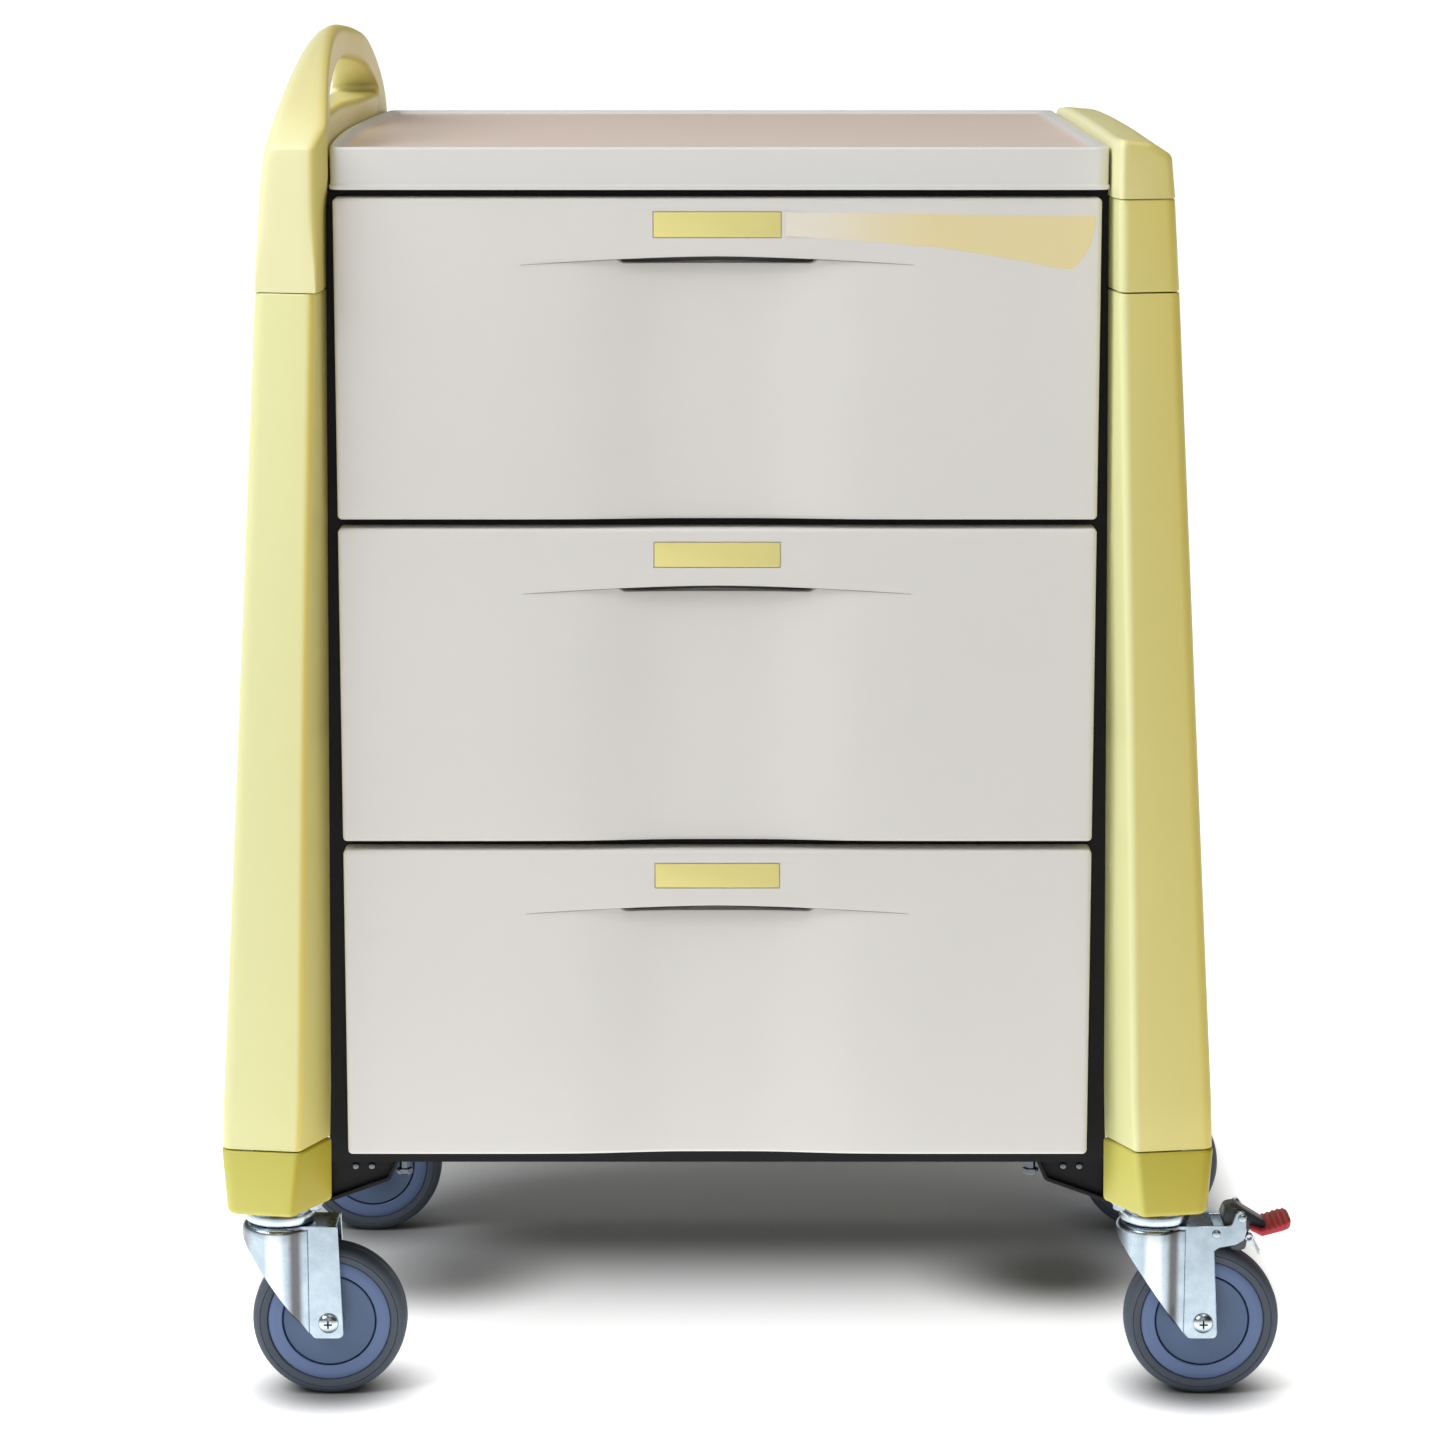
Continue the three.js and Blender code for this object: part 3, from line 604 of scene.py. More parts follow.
def handle_ring(outer, inner, radius):
    """The handle's section between a point of its outline and one of its slot."""
    (y0, z0), (y1, z1) = outer, inner
    length = math.hypot(y1 - y0, z1 - z0)
    near, far = radius / length, 1 - SLOT_ROUND / length
    edge = [(far_off / length, x) for far_off, x in quarter(4, radius)]
    lip = [(1 - far_off / length, x) for far_off, x in quarter(4, SLOT_ROUND)]
    places = [(share, 0, x) for share, x in reversed(edge)]
    places += [(mix(near, far, k / 6), 0, 0) for k in range(1, 6)]
    places += [(share, 0, x) for share, x in lip]
    places += [(share, 1, -x) for share, x in reversed(lip)]
    places += [(mix(far, near, k / 6), 1, 0) for k in range(1, 6)]
    places += [(share, 1, -x) for share, x in edge]
    places += [(0, 1 - k / 4, mix(-radius, radius, k / 4)) for k in range(1, 4)]
    return [handle_point(mix(y0, y1, share), mix(z0, z1, share), side, x) for share, side, x in places]


def push_handle():
    rings = [handle_ring(*station) for station in handle_stations()]
    piece("push_handle", skin(rings, closed_rows=True), HANDLE_CREAM, "root", smooth=60)


# ---- right cap ----
CAP_ROUND = 6


def right_cap():
    """Low crowned cap: one section in x and z, carried from front to rear."""
    low = cad_mm("right_cap")[0].z

    def section(y):
        rise = 4.0 * (1 - (y / DEPTH_HALF) ** 2)
        inner = mix(299.3, 303.5, near_end(abs(y)))
        droop = 4.0 * ease((y - 180) / 110)
        corners = [(inner, low, 1), (347.6, low, 1), (344.3, 1005 - droop, 9)]
        corners += [(328, 1014 + rise - droop, 20), (inner, 1017.5 + rise * 0.6 - droop, 5)]
        return filleted(corners, steps=6, closed=True)

    ends = [(DEPTH_HALF - d, shrink) for d, shrink in quarter(6, CAP_ROUND)]
    stations = [(-y, shrink) for y, shrink in ends] + ends
    stations += [(y, 0.0) for y in range(-290, 291, 20)]
    rings = []
    for y, shrink in sorted(stations):
        path = section(y)
        centre_u = sum(u for u, _ in path) / len(path)
        ring = []
        for u, z in path:
            u = mix(u, centre_u, shrink / 26)
            z = z if z < low + 4 else z - shrink
            ring.append((u, receded(u, y), z))
        rings.append(ring)
    piece("right_cap", skin(rings), HANDLE_CREAM, "root", smooth=40)


side_covers()
push_handle()
right_cap()

# ---- shared solids ----
def rounded_loop(u0, u1, v0, v1, radius, steps=5):
    """A rectangle with round corners, once round."""
    u0, u1, v0, v1 = u0 + radius, u1 - radius, v0 + radius, v1 - radius
    loop = []
    for u, v, start in ((u1, v1, 0), (u0, v1, 90), (u0, v0, 180), (u1, v0, 270)):
        for k in range(steps + 1):
            a = math.radians(start + 90 * k / steps)
            loop.append((u + radius * math.cos(a), v + radius * math.sin(a)))
    return loop


def spot(axis, w, u, v):
    return (u, w, v) if axis == "y" else (u, v, w)


def block(low, high, radius, bevel, axis="z", steps=5):
    """A box with round corners about the y or z axis and softened ends."""
    order = (1, 0, 2) if axis == "y" else (2, 0, 1)
    (w0, w1), (u0, u1), (v0, v1) = ((low[i], high[i]) for i in order)
    levels = [(w0, bevel), (w0 + bevel * 0.3, bevel * 0.3), (w0 + bevel, 0)]
    levels += [(w1 - bevel, 0), (w1 - bevel * 0.3, bevel * 0.3), (w1, bevel)]
    rings = []
    for w, s in levels:
        loop = rounded_loop(u0 + s, u1 - s, v0 + s, v1 - s, max(radius - s, 0.05), steps)
        rings.append([spot(axis, w, u, v) for u, v in loop])
    return skin(rings)


def shrunk(loop, distance):
    """A closed outline, run anticlockwise, moved inwards."""
    result = []
    for i, (u, v) in enumerate(loop):
        back = (Vector((u, v)) - Vector(loop[i - 1])).normalized()
        ahead = (Vector(loop[(i + 1) % len(loop)]) - Vector((u, v))).normalized()
        along = (back + ahead).normalized()
        step = distance / max(0.5, along.dot(ahead))
        result.append((u - along.y * step, v + along.x * step))
    return result


def plate(loop, w0, w1, bevel, axis="y"):
    """A flat piece of any outline, run anticlockwise, with softened edges."""
    levels = ((w0, bevel), (w0 + bevel, 0), (w1 - bevel, 0), (w1, bevel))
    rings = [[spot(axis, w, u, v) for u, v in (shrunk(loop, s) if s else loop)] for w, s in levels]
    return skin(rings)


def moved(part, dx, dy):
    points, faces = part
    return [(x + dx, y + dy, z) for x, y, z in points], faces


def dome_head(radius, height, centre, sign=-1):
    """A round screw head that stands out to the front (sign -1) or the rear."""
    share = ((0, 1), (0.45, 0.96), (0.75, 0.8), (0.94, 0.45), (1, 0.1), (1, -0.3), (0, -0.3))
    profile = [(radius * r, sign * height * h) for r, h in share]
    return lathe(profile, 20, "y", centre)


def wire(path, radius):
    """A round wire along points."""
    rings = []
    side = Vector((0, 1, 0.001))
    for i, here in enumerate(path):
        along = heading(path, i)
        side = (side - along * side.dot(along)).normalized()
        other = along.cross(side)
        angles = [math.tau * k / 8 for k in range(8)]
        rings.append([Vector(here) + (side * math.cos(a) + other * math.sin(a)) * radius for a in angles])
    return skin(rings)


# ---- drawers ----
FRONT_HALF = FRONT_HIGH.x
FRONT_HEIGHT = FRONT_HIGH.z - FRONT_LOW.z
EDGE = 3.5
EDGE_STEPS = (0, 0.08, 0.25, 0.5, 0.75, 1)
LIP_HALF = 166
LIP_DROP = 44.2
RIM_DROP = 49.4
SCOOP_TOP = 9.0
SCOOP_FOOT = 7.5
POCKET_DEEP = 16.0
INSERT_TOP = FRONT_HIGH.z - INSERT_HIGH.z
INSERT_FOOT = FRONT_HIGH.z - INSERT_LOW.z


def front_columns():
    edge = [FRONT_HALF - EDGE * t for t in EDGE_STEPS]
    flat = [280, 250, 225, 200, 182]
    painted_shade = list(range(LIP_HALF, 100, -8)) + list(range(98, 76, -3))
    slot = [76.5, 75, 73.5, 72, 70, 64, 57]
    middle = [INSERT_HALF + 0.9, INSERT_HALF + 0.3, 36, 18]
    half = edge + flat + painted_shade + slot + middle
    return [-x for x in half] + [0] + half[::-1]


def scoop_depth(x, share):
    """How far the finger scoop sinks in at a share of its height: full inside, gone past its flanks."""
    steep = 1 - ease((abs(x) - 24) / 92)
    wide = 1 - ease((abs(x) - 84) / 82)
    return mix(SCOOP_TOP, SCOOP_FOOT, ease(share)) * (0.84 * steep + 0.16 * wide)


def crease_line(x):
    """Where the brow above the scoop starts, and how tall its shadowed step is."""
    lip = LIP_DROP + 8 * (min(abs(x), LIP_HALF) / LIP_HALF) ** 1.6
    return lip, 0.08 + 0.92 * (1 - ease((abs(x) - 66) / 88))


def insert_recess(x, drop):
    """Recess for the tinted plate, inside a shallow dish."""
    inside = abs(x) < INSERT_HALF + 0.6 and INSERT_TOP - 0.6 < drop < INSERT_FOOT + 0.6
    dish = 1 - ease((abs(x) - 52) / 30)
    dish *= ease((drop - INSERT_TOP + 2.6) / 1.2) * (1 - ease((drop - 31) / 11))
    return 0.5 * dish + (1.3 if inside else 0)


def front_profile(x):
    """(drop below the top, depth behind the face) down the drawer front at one x."""
    lip, step = crease_line(x)
    pocket = 1 - ease((abs(x) - 71) / 6)
    deep = scoop_depth(x, 0)
    rim = mix(lip + step, RIM_DROP, pocket)
    rows = [(EDGE * t, 0) for t in EDGE_STEPS]
    drops = [6, 8.2, 9.2, INSERT_TOP - 0.9, INSERT_TOP - 0.3, 15, 22, INSERT_FOOT + 0.3, INSERT_FOOT + 0.9]
    drops += [mix(INSERT_FOOT + 0.9, lip - 1.2, k / 4) for k in range(1, 5)]
    rows += [(drop, insert_recess(x, drop)) for drop in drops]
    rows.append((lip - 0.3, min(0.3, deep)))
    inner = [(0, 1.2), (-1.5, 3.2), (-9, 4), (-10, 6)]
    inner += [(-10, POCKET_DEEP), (RIM_DROP - LIP_DROP - 1, POCKET_DEEP)]
    for k, (fall, depth) in enumerate(inner):
        share = (k + 1) / (len(inner) + 2)
        rows.append((lip + mix(step * share, fall, pocket), mix(deep * share, depth, pocket)))
    rows.append((mix(lip + 0.93 * step, rim, pocket), mix(deep * 0.9, POCKET_DEEP - 1, pocket)))
    rows.append((rim, deep + 1.4 * pocket))
    rows.append((rim + 0.5, deep + 0.35 * pocket))
    foot = FRONT_HEIGHT - EDGE
    rows += [(mix(rim + 1.8, foot, k / 14), scoop_depth(x, k / 14)) for k in range(15)]
    rows += [(foot + EDGE * t, scoop_depth(x, 1)) for t in (0.25, 0.5, 0.75, 0.92, 1)]
    return rows


def round_corner(x, drop):
    """Moves a grid point so that the outline's corners are round; also says how far the edge falls back."""
    middle = FRONT_HEIGHT / 2
    u = max(0.0, abs(x) - (FRONT_HALF - EDGE)) / EDGE
    v = max(0.0, abs(drop - middle) - (middle - EDGE)) / EDGE
    if u == 0 and v == 0:
        return x, drop, 0.0
    u, v = squeezed(u, v)
    x = math.copysign(FRONT_HALF - EDGE + EDGE * u, x) if u else x
    drop = middle + math.copysign(middle - EDGE + EDGE * v, drop - middle) if v else drop
    reach = min(1.0, math.hypot(u, v))
    return x, drop, EDGE * (1 - math.sqrt(1 - reach * reach))


def drawer_front(n):
    low, high = cad_mm(f"drawer_front_{n}")
    grid = []
    for x in front_columns():
        column = []
        for drop, depth in front_profile(x):
            px, pdrop, fall = round_corner(x, drop)
            column.append((px, low.y + depth + fall, high.z - pdrop))
        grid.append(column)
    face = skin(grid, closed_ring=False)
    edge = border(len(grid), len(grid[0]))
    back = [(face[0][i][0], high.y, face[0][i][2]) for i in edge]
    front = piece(f"drawer_front_{n}", walled(face, edge, [back]), GREY, f"drawer_{n}")
    # Painted shade: faces deep in the finger pocket take the dark pocket material, and the step under the brow
    # takes a painted shadow.
    for material in (POCKET_SHADE, CREASE_SHADOW):
        front.data.materials.append(material)
    for face in front.data.polygons:
        x, y, z = (face.center - place(0, 0, 0)) / MM
        drop = high.z - z
        lip, step = crease_line(x)
        inside = LIP_DROP - 12 < drop < RIM_DROP - 0.9 and y - low.y > POCKET_DEEP * 0.6
        if abs(x) < 80 and inside and y < high.y - 4:
            face.material_index = 1
        elif 71 < abs(x) < 150 and lip - 0.2 < drop < lip + step:
            face.material_index = 2


def drawer_insert(n):
    low, high = cad_mm(f"drawer_insert_{n}")
    piece(f"drawer_insert_{n}", block(low, high, 1.2, 0.5, axis="y"), AMBER, f"drawer_{n}")


def drawer_bin(n):
    """Moulded bin: round corners, a floor with soft edges and a bead round the rim."""
    low, high = cad_mm(f"drawer_tray_{n}")
    wall = 3.0
    sections = (
        (low.z, 6, 14), (low.z + 1.5, 2.2, 16), (low.z + 6, 0, 18), (high.z - 9, 0, 18),
        (high.z - 8, 0, 18), (high.z - 2, 0, 18), (high.z - 0.5, 0.6, 18), (high.z, 1.5, 17),
        (high.z - 0.5, wall, 15), (high.z - 8, wall, 15), (low.z + 9, wall, 15),
        (low.z + 4.5, wall + 2, 13), (low.z + wall, wall + 7, 9),
    )
    rings = []
    for z, s, radius in sections:
        loop = rounded_loop(low.x + s, high.x - s, low.y + s, high.y - s, radius, 6)
        rings.append([(u, v, z) for u, v in loop])
    piece(f"drawer_tray_{n}", skin(rings), TRAY, f"drawer_{n}")


DECAL_FOOT = (
    (52, 943), (100, 940), (168, 934.5), (228, 925), (252, 919.8), (262, 918), (270, 917.6),
    (274, 919.5), (279, 926), (284, 935), (287, 942), (287.8, 950),
)


def decal():
    """Plain curved patch of colour, a hair proud of the top drawer."""
    rings = []
    for k in range(61):
        x = mix(52, 287.8, k / 60)
        top = mix(961, 958, k / 60)
        foot = read(DECAL_FOOT, x)
        corners = ((-0.12, top), (-0.12, foot), (0.1, foot), (0.1, top))
        rings.append([(x, FRONT_LOW.y + y, z) for y, z in corners])
    piece("drawer_decal_1", skin(rings), DECAL, "drawer_1")


for n in (1, 2, 3):
    drawer_front(n)
    drawer_insert(n)
    drawer_bin(n)
decal()


# ---- work surface ----
DECK_CORNER = 9.0
DECK_ROUND = 2.6
DECK_DISH = 3.0
DECK_INSET = 0.8


def deck_left(y):
    return DECK_LOW.x + DECK_BOW * min(1.0, (y / ARCH_HALF) ** 2)


def deck_height(x, y, left):
    """Height of the top: a dish inside sloping lips, level with the front edge."""
    lips = (
        1 - ease((x - left - 5) / 9),
        1 - ease((DECK_HIGH.x - x - 8) / 9),
        1 - ease((DECK_HIGH.y - y - 5) / 6),
        0.9 * (1 - ease((y - DECK_LOW.y - 3) / 24)),
    )
    return DECK_HIGH.z - DECK_DISH * (1 - max(lips))


def deck_lines(near, far, near_lip, far_lip, steps):
    edge = [0, 0.2, 0.7, 1.4, 2.6, 4, 6.5, 9]
    lines = [near + d for d in edge + near_lip]
    start, end = lines[-1], far - far_lip[-1]
    lines += [mix(start, end, k / steps) for k in range(1, steps)]
    return lines + [far - d for d in reversed(edge + far_lip)]


def work_surface():
    ys = deck_lines(DECK_LOW.y + DECK_INSET, DECK_HIGH.y, [14, 20, 28], [11, 13, 16], 24)
    right = DECK_HIGH.x - DECK_INSET
    rows = []
    for y in ys:
        left = deck_left(y) + DECK_INSET
        row = []
        for x in deck_lines(left, right, [11, 14, 18], [10.5, 12, 14, 17.5, 26], 16):
            u = clamp(1 - min(x - left, right - x) / DECK_CORNER)
            v = clamp(1 - min(y - ys[0], ys[-1] - y) / DECK_CORNER)
            height = deck_height(x, y, left)
            u2, v2 = squeezed(u, v)
            px = x - math.copysign((u - u2) * DECK_CORNER, x) if v else x
            py = y - math.copysign((v - v2) * DECK_CORNER, y) if u else y
            far = DECK_CORNER * (1 - math.hypot(u2, v2))
            if far < DECK_ROUND:
                height -= DECK_ROUND - math.sqrt(max(0.0, DECK_ROUND**2 - (DECK_ROUND - far) ** 2))
            row.append((px, py, height))
        rows.append(row)
    top = skin(rows, closed_ring=False)
    edge = border(len(rows), len(rows[0]))
    centre = (DECK_LOW.x + DECK_HIGH.x) / 2
    levels = []
    for up, grow in ((4, 0), (3.4, 0.8), (0.8, 0.8), (0, 0)):
        wide, deep = 1 + grow / DECK_HIGH.x, 1 + grow / DECK_HIGH.y
        ring = [top[0][i] for i in edge]
        levels.append([(centre + (x - centre) * wide, y * deep, DECK_LOW.z + up) for x, y, _ in ring])
    piece("work_surface", walled(top, edge, levels), DECK, "root", smooth=40)


work_surface()

# ---- cabinet ----
def back_panel():
    """Steel back with three pressed fields and its row of screws."""
    low, high = cad_mm("back_panel")
    parts = [block(low, high, 3, 0.4, axis="y")]
    tall = (high.z - low.z - 60) / 3
    for i in range(3):
        foot = low.z + 30 + tall * i
        near, far = (low.x + 46, high.y - 0.3, foot + 14), (high.x - 46, high.y + 1.8, foot + tall - 14)
        parts.append(block(near, far, 14, 1.5, axis="y"))
    piece("back_panel", joined(parts), BLACK, "root")
    screws = []
    for i in range(6):
        z = mix(low.z + 22, high.z - 22, i / 5)
        screws += [dome_head(4.2, 2.2, (side * 284, high.y, z), sign=1) for side in (-1, 1)]
    piece("back_panel_screws", joined(screws), ZINC, "root")


def outrigger(corner):
    """Folded steel arm: a bent lower flange, two webs set in from its edges, bolts at its root."""
    low, high = cad_mm(f"outrigger_{corner}")
    side = 1 if low.x > 0 else -1
    root, tip = (low.x, high.x) if side > 0 else (high.x, low.x)
    under = [(root, high.z - 0.2), (side * 262, 187), (side * 309, low.z), (tip, low.z)]
    path = filleted([(x, z, 6) for x, z in under], steps=4)
    flange = path + inset(path, side * 3.2)[::-1]
    web = path + [(tip, high.z - 0.2)]
    if side < 0:
        flange, web = flange[::-1], web[::-1]
    parts = [plate(flange, low.y, high.y, 0.5)]
    parts += [plate(web, y, y + 3, 0.3) for y in (low.y + 6, high.y - 9)]
    piece(f"outrigger_{corner}", joined(parts), BLACK, "root", smooth=40)
    bolts = [dome_head(3.1, 1.8, (side * x, low.y + 6, 197.5)) for x in (277, 290)]
    nut = [(5.6, 186.5), (6.6, 187.5), (6.6, 191), (4.2, 191.4), (4.2, high.z), (0, high.z), (0, 186.5)]
    bolts.append(lathe(nut[::-1], steps=6, centre=(side * 252, (low.y + high.y) / 2 - 12, 0)))
    # The bolts and nut take the zinc with painted shade.
    piece(f"outrigger_bolts_{corner}", joined(bolts), SHADED_ZINC, "root")


back_panel()
for corner in CORNERS:
    outrigger(corner)


# ---- casters, in millimetres from each swivel axis ----
WHEEL_RADIUS = cad_half("caster_tyre_front_left").z
TREAD_HALF = cad_half("caster_tyre_front_left").y
HUB_RADIUS = cad_half("caster_hub_front_left").z
TRAIL = 39
FORK_TOP = cad_mm("caster_fork_front_left")[1].z
FORK_HALF = 20
FORK_BEND = 5.0
CROWN_RADIUS = 31
STEEL = 3.0
EAR = ((47, 123, 0), (50.5, 125.6, 5), (65, 128.2, 8), (71, 133, 5), (72.8, 141, 9), (72.6, 150, 6),
       (70, 156.5, 5), (64.5, 156.3, 5), (60.3, 145, 3), (56, 144, 2))


def swivel_spot(corner):
    joint = JOINTS[f"swivel_{corner}"]
    x, y = joint["pos_m"][:2]
    return (x - MIDDLE_X) / MM, y / MM


def caster_plate(corner, cx, cy):
    top = cad_mm(f"caster_plate_{corner}")[1].z
    foot = FORK_TOP + 0.4
    race = [
        (0, top - 1), (23, top - 1), (23, foot + 15), (24.5, foot + 12.6), (27.3, foot + 11),
        (28.5, foot + 9), (28.9, foot + 6), (28.5, foot + 3), (27.4, foot + 1.2), (25, foot + 0.4),
        (20, foot), (7, foot), (7, 129.5), (5.5, 128.4), (0, 128.2),
    ]
    parts = [
        block((cx - 38, cy - 33, top - 4), (cx + 38, cy + 33, top), 7, 0.7),
        lathe(race, steps=48, centre=(cx, cy, 0)),
    ]
    head = [(0, top - 9.5), (5.2, top - 9.5), (6, top - 8.6), (6, top - 4), (0, top - 4)]
    for dx in (-30, 30):
        parts += [lathe(head, steps=6, centre=(cx + dx, cy + dy, 0)) for dy in (-25, 25)]
    piece(f"caster_plate_{corner}", joined(parts), ZINC, "root", smooth=30)


def skirt_foot(x):
    """Height of the fork's slanted lower edge."""
    return mix(133.5, 50, clamp((x + CROWN_RADIUS) / (26 + CROWN_RADIUS)))


def nose_path():
    """Half of the fork's plan, clockwise from the flat leg to the tip of its nose."""
    start = math.radians(276)
    onto = Vector((math.cos(start), math.sin(start))) * CROWN_RADIUS
    pull = Vector((math.sin(start), -math.cos(start)))
    a, b, c = Vector((23, -FORK_HALF)), Vector((14, -FORK_HALF)), onto - pull * 9
    path = []
    for t in [k / 12 for k in range(12)]:
        path.append(a * (1 - t) ** 3 + b * 3 * t * (1 - t) ** 2 + c * 3 * t * t * (1 - t) + onto * t**3)
    for angle in [mix(start, math.pi, k / 24) for k in range(25)]:
        path.append(Vector((math.cos(angle), math.sin(angle))) * CROWN_RADIUS)
    return path


def nose_section(foot):
    """(Depth behind the face, height) round the folded sheet: up the face, over the bend and back."""
    shoulder = FORK_TOP - FORK_BEND
    section = [(STEEL, foot), (STEEL - 0.6, foot - 0.4), (0.6, foot - 0.4), (0, foot)]
    section += [(0, mix(foot, shoulder, k / 8)) for k in range(1, 9)]
    section += [(depth, FORK_TOP - down) for down, depth in quarter(4, FORK_BEND)[1:]]
    section += [(8, FORK_TOP), (8, FORK_TOP - STEEL), (FORK_BEND, FORK_TOP - STEEL)]
    return section + [(STEEL, mix(shoulder, foot, k / 8)) for k in range(8)]


def fork_nose():
    half = nose_path()
    path = half + [Vector((p.x, -p.y)) for p in reversed(half[:-1])]
    rings = []
    ways = [heading(path, i) for i in range(len(path))]
    ways[0], ways[-1] = Vector((-1, 0)), Vector((1, 0))
    for here, along in zip(path, ways):
        inward = Vector((along.y, -along.x))
        rings.append([(*(here + inward * depth), z) for depth, z in nose_section(skirt_foot(here.x))])
    return skin(rings)


def fork_leg(ear):
    """Flat side of the fork, from the nose's end to the axle, with the brake's ear on one caster."""
    corners = [(23, skirt_foot(23) + 0.4, 0), (27, 49, 5), (51, 49, 5)]
    corners += list(EAR) if ear else [(47.5, FORK_TOP, 2)]
    corners += [(23, FORK_TOP, 0)]
    return filleted(corners, closed=True)


def caster_fork(corner, cx, cy):
    ear = corner == "front_right"
    outline = fork_leg(ear)
    crown = [(46.5, -FORK_HALF + 0.6), (46.5, FORK_HALF - 0.6)]
    angles = [math.radians(48 + 11 * k) for k in range(25)]
    crown += [(27 * math.cos(a), 27 * math.sin(a)) for a in angles]
    parts = [
        fork_nose(),
        plate(outline, -FORK_HALF, -FORK_HALF + STEEL, 0.7),
        plate(outline, FORK_HALF - STEEL, FORK_HALF, 0.7),
        plate(crown, FORK_TOP - STEEL, FORK_TOP - 0.05, 0.4, axis="z"),
    ]
    if ear:
        for x, z in ((48.3, 137.5), (68.9, 150.6)):
            parts += [dome_head(3.7, 2.2, (x, sign * FORK_HALF, z), sign) for sign in (-1, 1)]
    fork = moved(joined(parts), cx, cy)
    piece(f"caster_fork_{corner}", fork, fork_metal(corner, cx), f"swivel_{corner}", smooth=40)


# Painted reflections on each fork: (x where it starts, is full, is full, ends, from the swivel axis), colour.
FORK_REFLECTIONS = (
    ((-12, -6, 0, 7), (236, 243, 247)),
    ((6, 12, 15, 20.5), (104, 104, 106)),
    ((-40, -31, -29, -20), (122, 130, 138)),
)


def fork_metal(corner, cx):
    """Zinc plate, with painted reflections: dark and bright upright bands where its bends would pick up the room.
    """
    nodes = Finish(f"fork_zinc_{corner}", "zinc_steel")
    tone = spangled(nodes, (152, 168, 180), (196, 210, 219))
    for (a, b, c, d), color in FORK_REFLECTIONS:
        reflection = nodes.math("MULTIPLY", nodes.across(cx + a, cx + b), nodes.across(cx + d, cx + c))
        tone = nodes.blend(reflection, tone, linear(*color))
    return plated(nodes, tone, 0.18)


def caster_wheel(corner, cx, cy):
    """Tyre, hub, disc and axle bolt, each turned from its half section (radius, depth inside its side)."""
    body = f"wheel_{corner}"
    centre = (cx + TRAIL, cy, WHEEL_RADIUS)
    tyre = (
        (HUB_RADIUS + 0.1, 2.4), (HUB_RADIUS + 0.9, 0.9), (53, 0.3), (55.4, 0.05), (55.9, 0.7), (56.4, 0.1),
        (57.4, 0.2), (59.6, 1.4), (61.2, 3.4), (62.1, 6.2), (WHEEL_RADIUS, 10),
        (WHEEL_RADIUS, TREAD_HALF - 1.5), (WHEEL_RADIUS - 0.5, TREAD_HALF - 0.5),
    )
    rim = (
        (38.4, 8), (38.4, 2.7), (38.9, 2.2), (44, 1.9), (48.6, 1.9),
        (HUB_RADIUS - 0.4, 2.3), (HUB_RADIUS, 3.2), (HUB_RADIUS, TREAD_HALF - 2),
    )
    disc = (
        (5.8, -1.6), (11.5, -1.6), (12.5, -0.8), (13, 2.4), (14.5, 3.2), (35.6, 3.2),
        (36.6, 2.8), (37.1, 3.4), (37.2, 7.8), (38.3, 8.2), (38.3, TREAD_HALF - 2),
    )
    reach = FORK_HALF + 0.3
    bolt = ((0, -4.4), (2.8, -4.3), (5.4, -3.6), (7.3, -2.3), (8.2, -0.9), (8.2, 0), (5, 0), (5, reach - 2))
    turnings = (
        ("tyre", tyre, TREAD_HALF, TYRE, 96),
        ("hub", rim, TREAD_HALF, HUB, 72),
        ("hub_disc", disc, TREAD_HALF, HUB_DARK, 72),
        ("axle", bolt, reach, ZINC, 40),
    )
    for part, half, side, material, steps in turnings:
        profile = [(r, w - side) for r, w in half] + [(r, side - w) for r, w in reversed(half)]
        piece(f"caster_{part}_{corner}", lathe(profile, steps, "y", centre), material, body, smooth=32)
    # Painted shade: thin black crosses on each axle bolt's dome stand for the shade in its cross recess.
    recess_shade = []
    x, _, z = centre
    for side in (-1, 1):
        near, far = sorted((cy + side * (reach + 4.15), cy + side * (reach + 4.55)))
        for dx, dz in ((3.4, 0.7), (0.7, 3.4)):
            low, high = (x - dx, near, z - dz), (x + dx, far, z + dz)
            recess_shade.append(block(low, high, 0.5, 0.1, axis="y", steps=2))
    piece(f"caster_axle_recess_{corner}", joined(recess_shade), BLACK, body)


for corner in CORNERS:
    cx, cy = swivel_spot(corner)
    caster_plate(corner, cx, cy)
    caster_fork(corner, cx, cy)
    caster_wheel(corner, cx, cy)


# ---- foot brake ----
SPRING_WIRE = 0.75
PEDAL_DIP = 9.3
PEDAL_TIP = 9.0


def brake_lever(cx, cy):
    """Pressed lever: a rounded hood over the ears that runs out as a blade on the pedal."""
    hood = (
        (90.5, 142.2, 2), (73.5, 152.6, 9), (66, 157.6, 7), (56.5, 156.6, 7), (53.6, 148, 6), (58, 134, 4),
        (60.8, 122.6, 3), (67, 121, 4), (73, 123.2, 3), (75, 138.6, 4), (80, 141, 4), (90, 140.2, 1),
    )
    lever = plate(filleted(hood, closed=True), -13.5, 13.5, 1.4)
    piece("brake_lever", moved(lever, cx, cy), LEVER, "foot_brake", smooth=50)


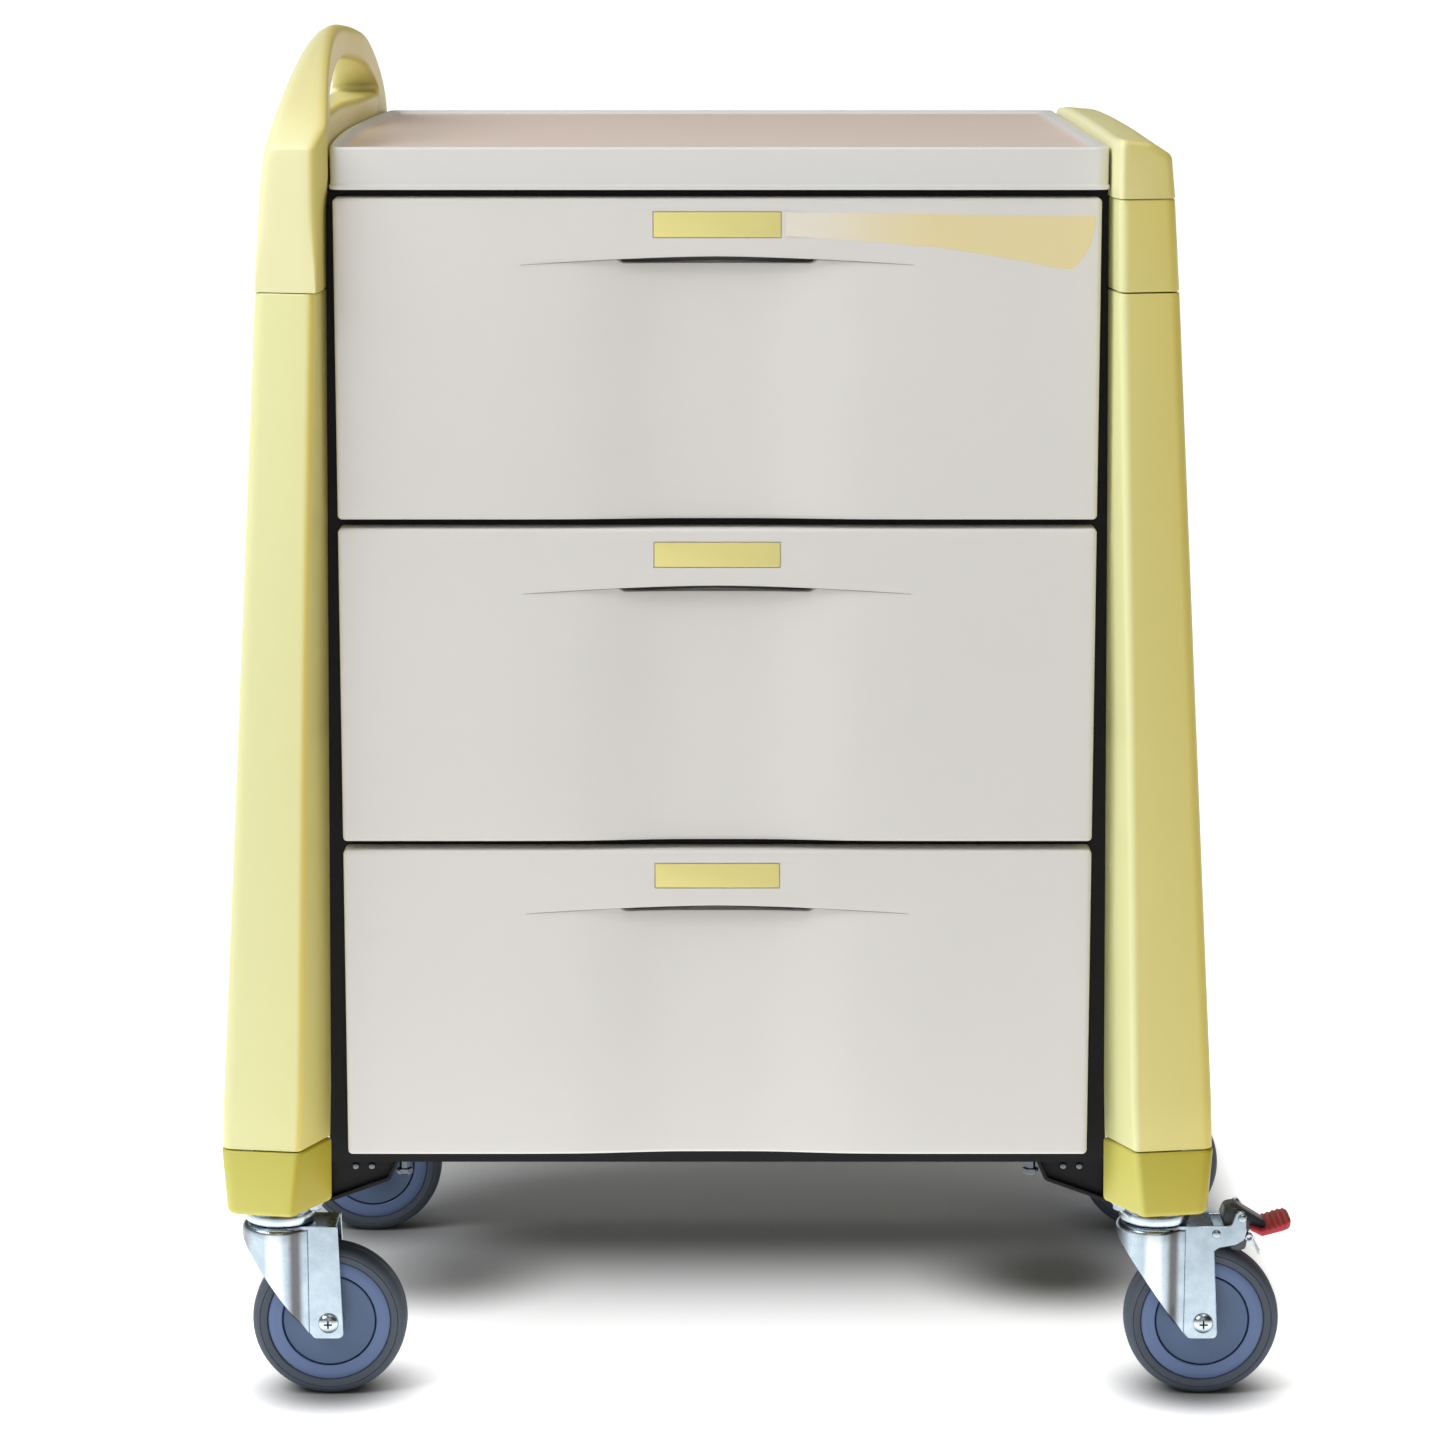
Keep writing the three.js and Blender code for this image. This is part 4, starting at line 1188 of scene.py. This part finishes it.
def brake_pedal(cx, cy):
    """Ribbed pad with a rounded tip; it dips under the lever's blade, then rises."""
    low, high = cad_mm("brake_pedal")
    first, last = low.x - cx, high.x - cx
    half = cad_half("brake_pedal").y
    rings = []
    for k in range(97):
        x = mix(first, last, k / 96)
        dip = clamp((x - first) / PEDAL_DIP)
        past = max(0.0, x - first - PEDAL_DIP)
        foot = mix(140.5, 135.8, dip) + 0.27 * past
        top = mix(143.5, 140.6, dip) + 0.33 * past
        rib = 0.5 + 0.5 * math.cos(math.tau * (x - 89.5) / 4.1)
        if 87.5 < x < last - 2.5:
            top += 1.1 * rib**2
        near_tip = max(0.0, x - (last - PEDAL_TIP))
        width = half - PEDAL_TIP + math.sqrt(max(0.04, PEDAL_TIP**2 - near_tip**2))
        thin = 1.6 * ease((x - last + 1.6) / 1.6)
        section = rounded_loop(-width, width, foot + thin, top - thin * 0.6, 1.3, 3)
        rings.append([(x, v, z) for v, z in section])
    piece("brake_pedal", moved(skin(rings), cx, cy), PEDAL, "foot_brake", smooth=45)


def brake_spring(cx, cy):
    """Small torsion spring below the ears: a coil with two legs."""
    turns = [math.tau * k / 12 for k in range(49)]
    coil = [(75.5 + 2.6 * math.cos(a), 1.32 * a / math.tau - 15, 133 + 2.6 * math.sin(a)) for a in turns]
    path = [(83.5, -15.3, 119.6), (79.5, -15.1, 126.6)] + coil + [(80.8, -9.6, 127.0), (84.6, -9.4, 120.2)]
    piece("brake_spring", moved(wire(path, SPRING_WIRE), cx, cy), ZINC, "foot_brake")


for brake_part in (brake_lever, brake_pedal, brake_spring):
    brake_part(*swivel_spot("front_right"))


FINISHES = {
    material["slot"]: material
    for material in (BLACK, ZINC, GREY, TRAY, DECK, CREAM, BUMPER, AMBER, TYRE, HUB, LEVER, PEDAL)
}
SLOTS = {subpart["node"]: subpart["material_slot"] for subpart in frame["record"]["subparts"]}
for node in frame["nodes"].values():
    node.data.materials.clear()
    node.data.materials.append(FINISHES[SLOTS[node.name]])


# ---- stage ----
CAMERA_TILT = 0.188


def floor():
    """Pale floor that glows towards white away from the chest, so that it has no horizon; the glow is held off
    under the chest, round each wheel and at two spots by the front wheels, which leaves painted shadow there, and
    the base colour darkens round each wheel's rest contact as a painted contact shadow.
    """
    corners = [(-60, -60, 0), (60, -60, 0), (60, 60, 0), (-60, 60, 0)]
    mesh = bpy.data.meshes.new("floor")
    mesh.from_pydata(corners, [], [(0, 1, 2, 3)])
    nodes = Finish("floor")
    pale = nodes.blend(nodes.noise(0.8), (0.885, 0.895, 0.92), (0.915, 0.925, 0.95))
    axes = nodes.axes(nodes.position)
    across = nodes.math("ABSOLUTE", axes["X"])
    behind = nodes.ramp(axes["Y"], 0.46, 0.7)
    beside = nodes.ramp(across, 0.4, 0.48)
    before = nodes.ramp(axes["Y"], 0.2, -0.12)
    glow = nodes.math("MAXIMUM", nodes.math("MAXIMUM", behind, beside), before)
    near = nodes.math("MULTIPLY", nodes.ramp(axes["Y"], -0.9, -0.42), nodes.ramp(across, 1.2, 0.75))
    far = nodes.spread(nodes.ramp(nodes.distance((0, 0, 0)), 1.4, 4.0), 0.3, 0.5)
    wide = nodes.math("MAXIMUM", nodes.ramp(axes["Y"], 0.5, 1.0), far)
    glow = nodes.math("MULTIPLY", glow, nodes.math("MAXIMUM", near, wide))
    contacts = [(x + TRAIL, y, 0.11) for x, y in map(swivel_spot, CORNERS)]
    # Painted shadow: spots by the front wheels where the glow is held off.
    shadow_spots = [(-262, 85, 0.15), (300, 85, 0.15)]
    for x, y, reach in contacts + shadow_spots:
        glow = nodes.math("MULTIPLY", glow, nodes.ramp(nodes.distance(place(x, y, 0)), 0.02, reach))
    # Painted contact shadow: the floor's base colour darkens round each wheel's rest contact.
    for x, y, _ in contacts:
        contact_shadow = nodes.ramp(nodes.distance(place(x, y, 0)), 0.0, 0.085)
        pale = nodes.blend(contact_shadow, (0.22, 0.22, 0.22), pale)
    nodes.set(Base_Color=pale, Roughness=0.95, Emission_Color=(1, 1, 1, 1), Emission_Strength=glow)
    mesh.materials.append(nodes.material)
    shown("floor", mesh)


def area_light(name, spot, target, size, power):
    light = bpy.data.lights.new(name, "AREA")
    light.shape = "RECTANGLE"
    light.size, light.size_y = size
    light.energy = power
    obj = shown(name, light)
    obj.location = spot
    obj.rotation_euler = (Vector(target) - Vector(spot)).to_track_quat("-Z", "Y").to_euler()


def studio():
    """Brighter on the left, dimmer and warmer on the right, with a white band at the horizon."""
    world = bpy.data.worlds.new("studio")
    world.use_nodes = True
    nodes = Nodes(world.node_tree)
    background = world.node_tree.nodes["Background"]
    axes = nodes.axes(nodes.new("TexCoord").outputs["Generated"])
    horizon = nodes.math("MULTIPLY", nodes.ramp(axes["Z"], -0.1, -0.03), nodes.ramp(axes["Z"], 0.16, 0.04))
    side = nodes.spread(nodes.ramp(axes["X"], -1, 1), 0.2, 0.02)
    nodes.feed(background.inputs["Strength"], nodes.math("ADD", side, horizon))
    warmth = nodes.blend(nodes.ramp(axes["X"], 0.25, 0.9), (0.98, 0.99, 1.0), (1.0, 0.86, 0.62))
    nodes.feed(background.inputs["Color"], warmth)
    bpy.context.scene.world = world


def camera():
    """Level with the work surface and tilted down a little, far enough off to flatten the view."""
    data = bpy.data.cameras.new("camera")
    data.lens = 107.6
    data.sensor_width = 36
    obj = shown("camera", data)
    obj.location = place(4, -3584, 1193.8)
    obj.rotation_euler = (math.pi / 2 - CAMERA_TILT, 0, 0)
    bpy.context.scene.camera = obj


floor()
area_light("key", (-2.6, -1.6, 3.4), (0, 0, 0.6), (2.4, 2.4), 114)
area_light("fill", (0.2, -4.2, 2.4), (0, 0, 0.7), (2.2, 1.8), 6)
area_light("top", (0.4, -0.4, 3.3), (0, 0, 0.9), (2.2, 2.2), 25)
studio()
camera()
bpy.context.scene.view_settings.view_transform = "Standard"
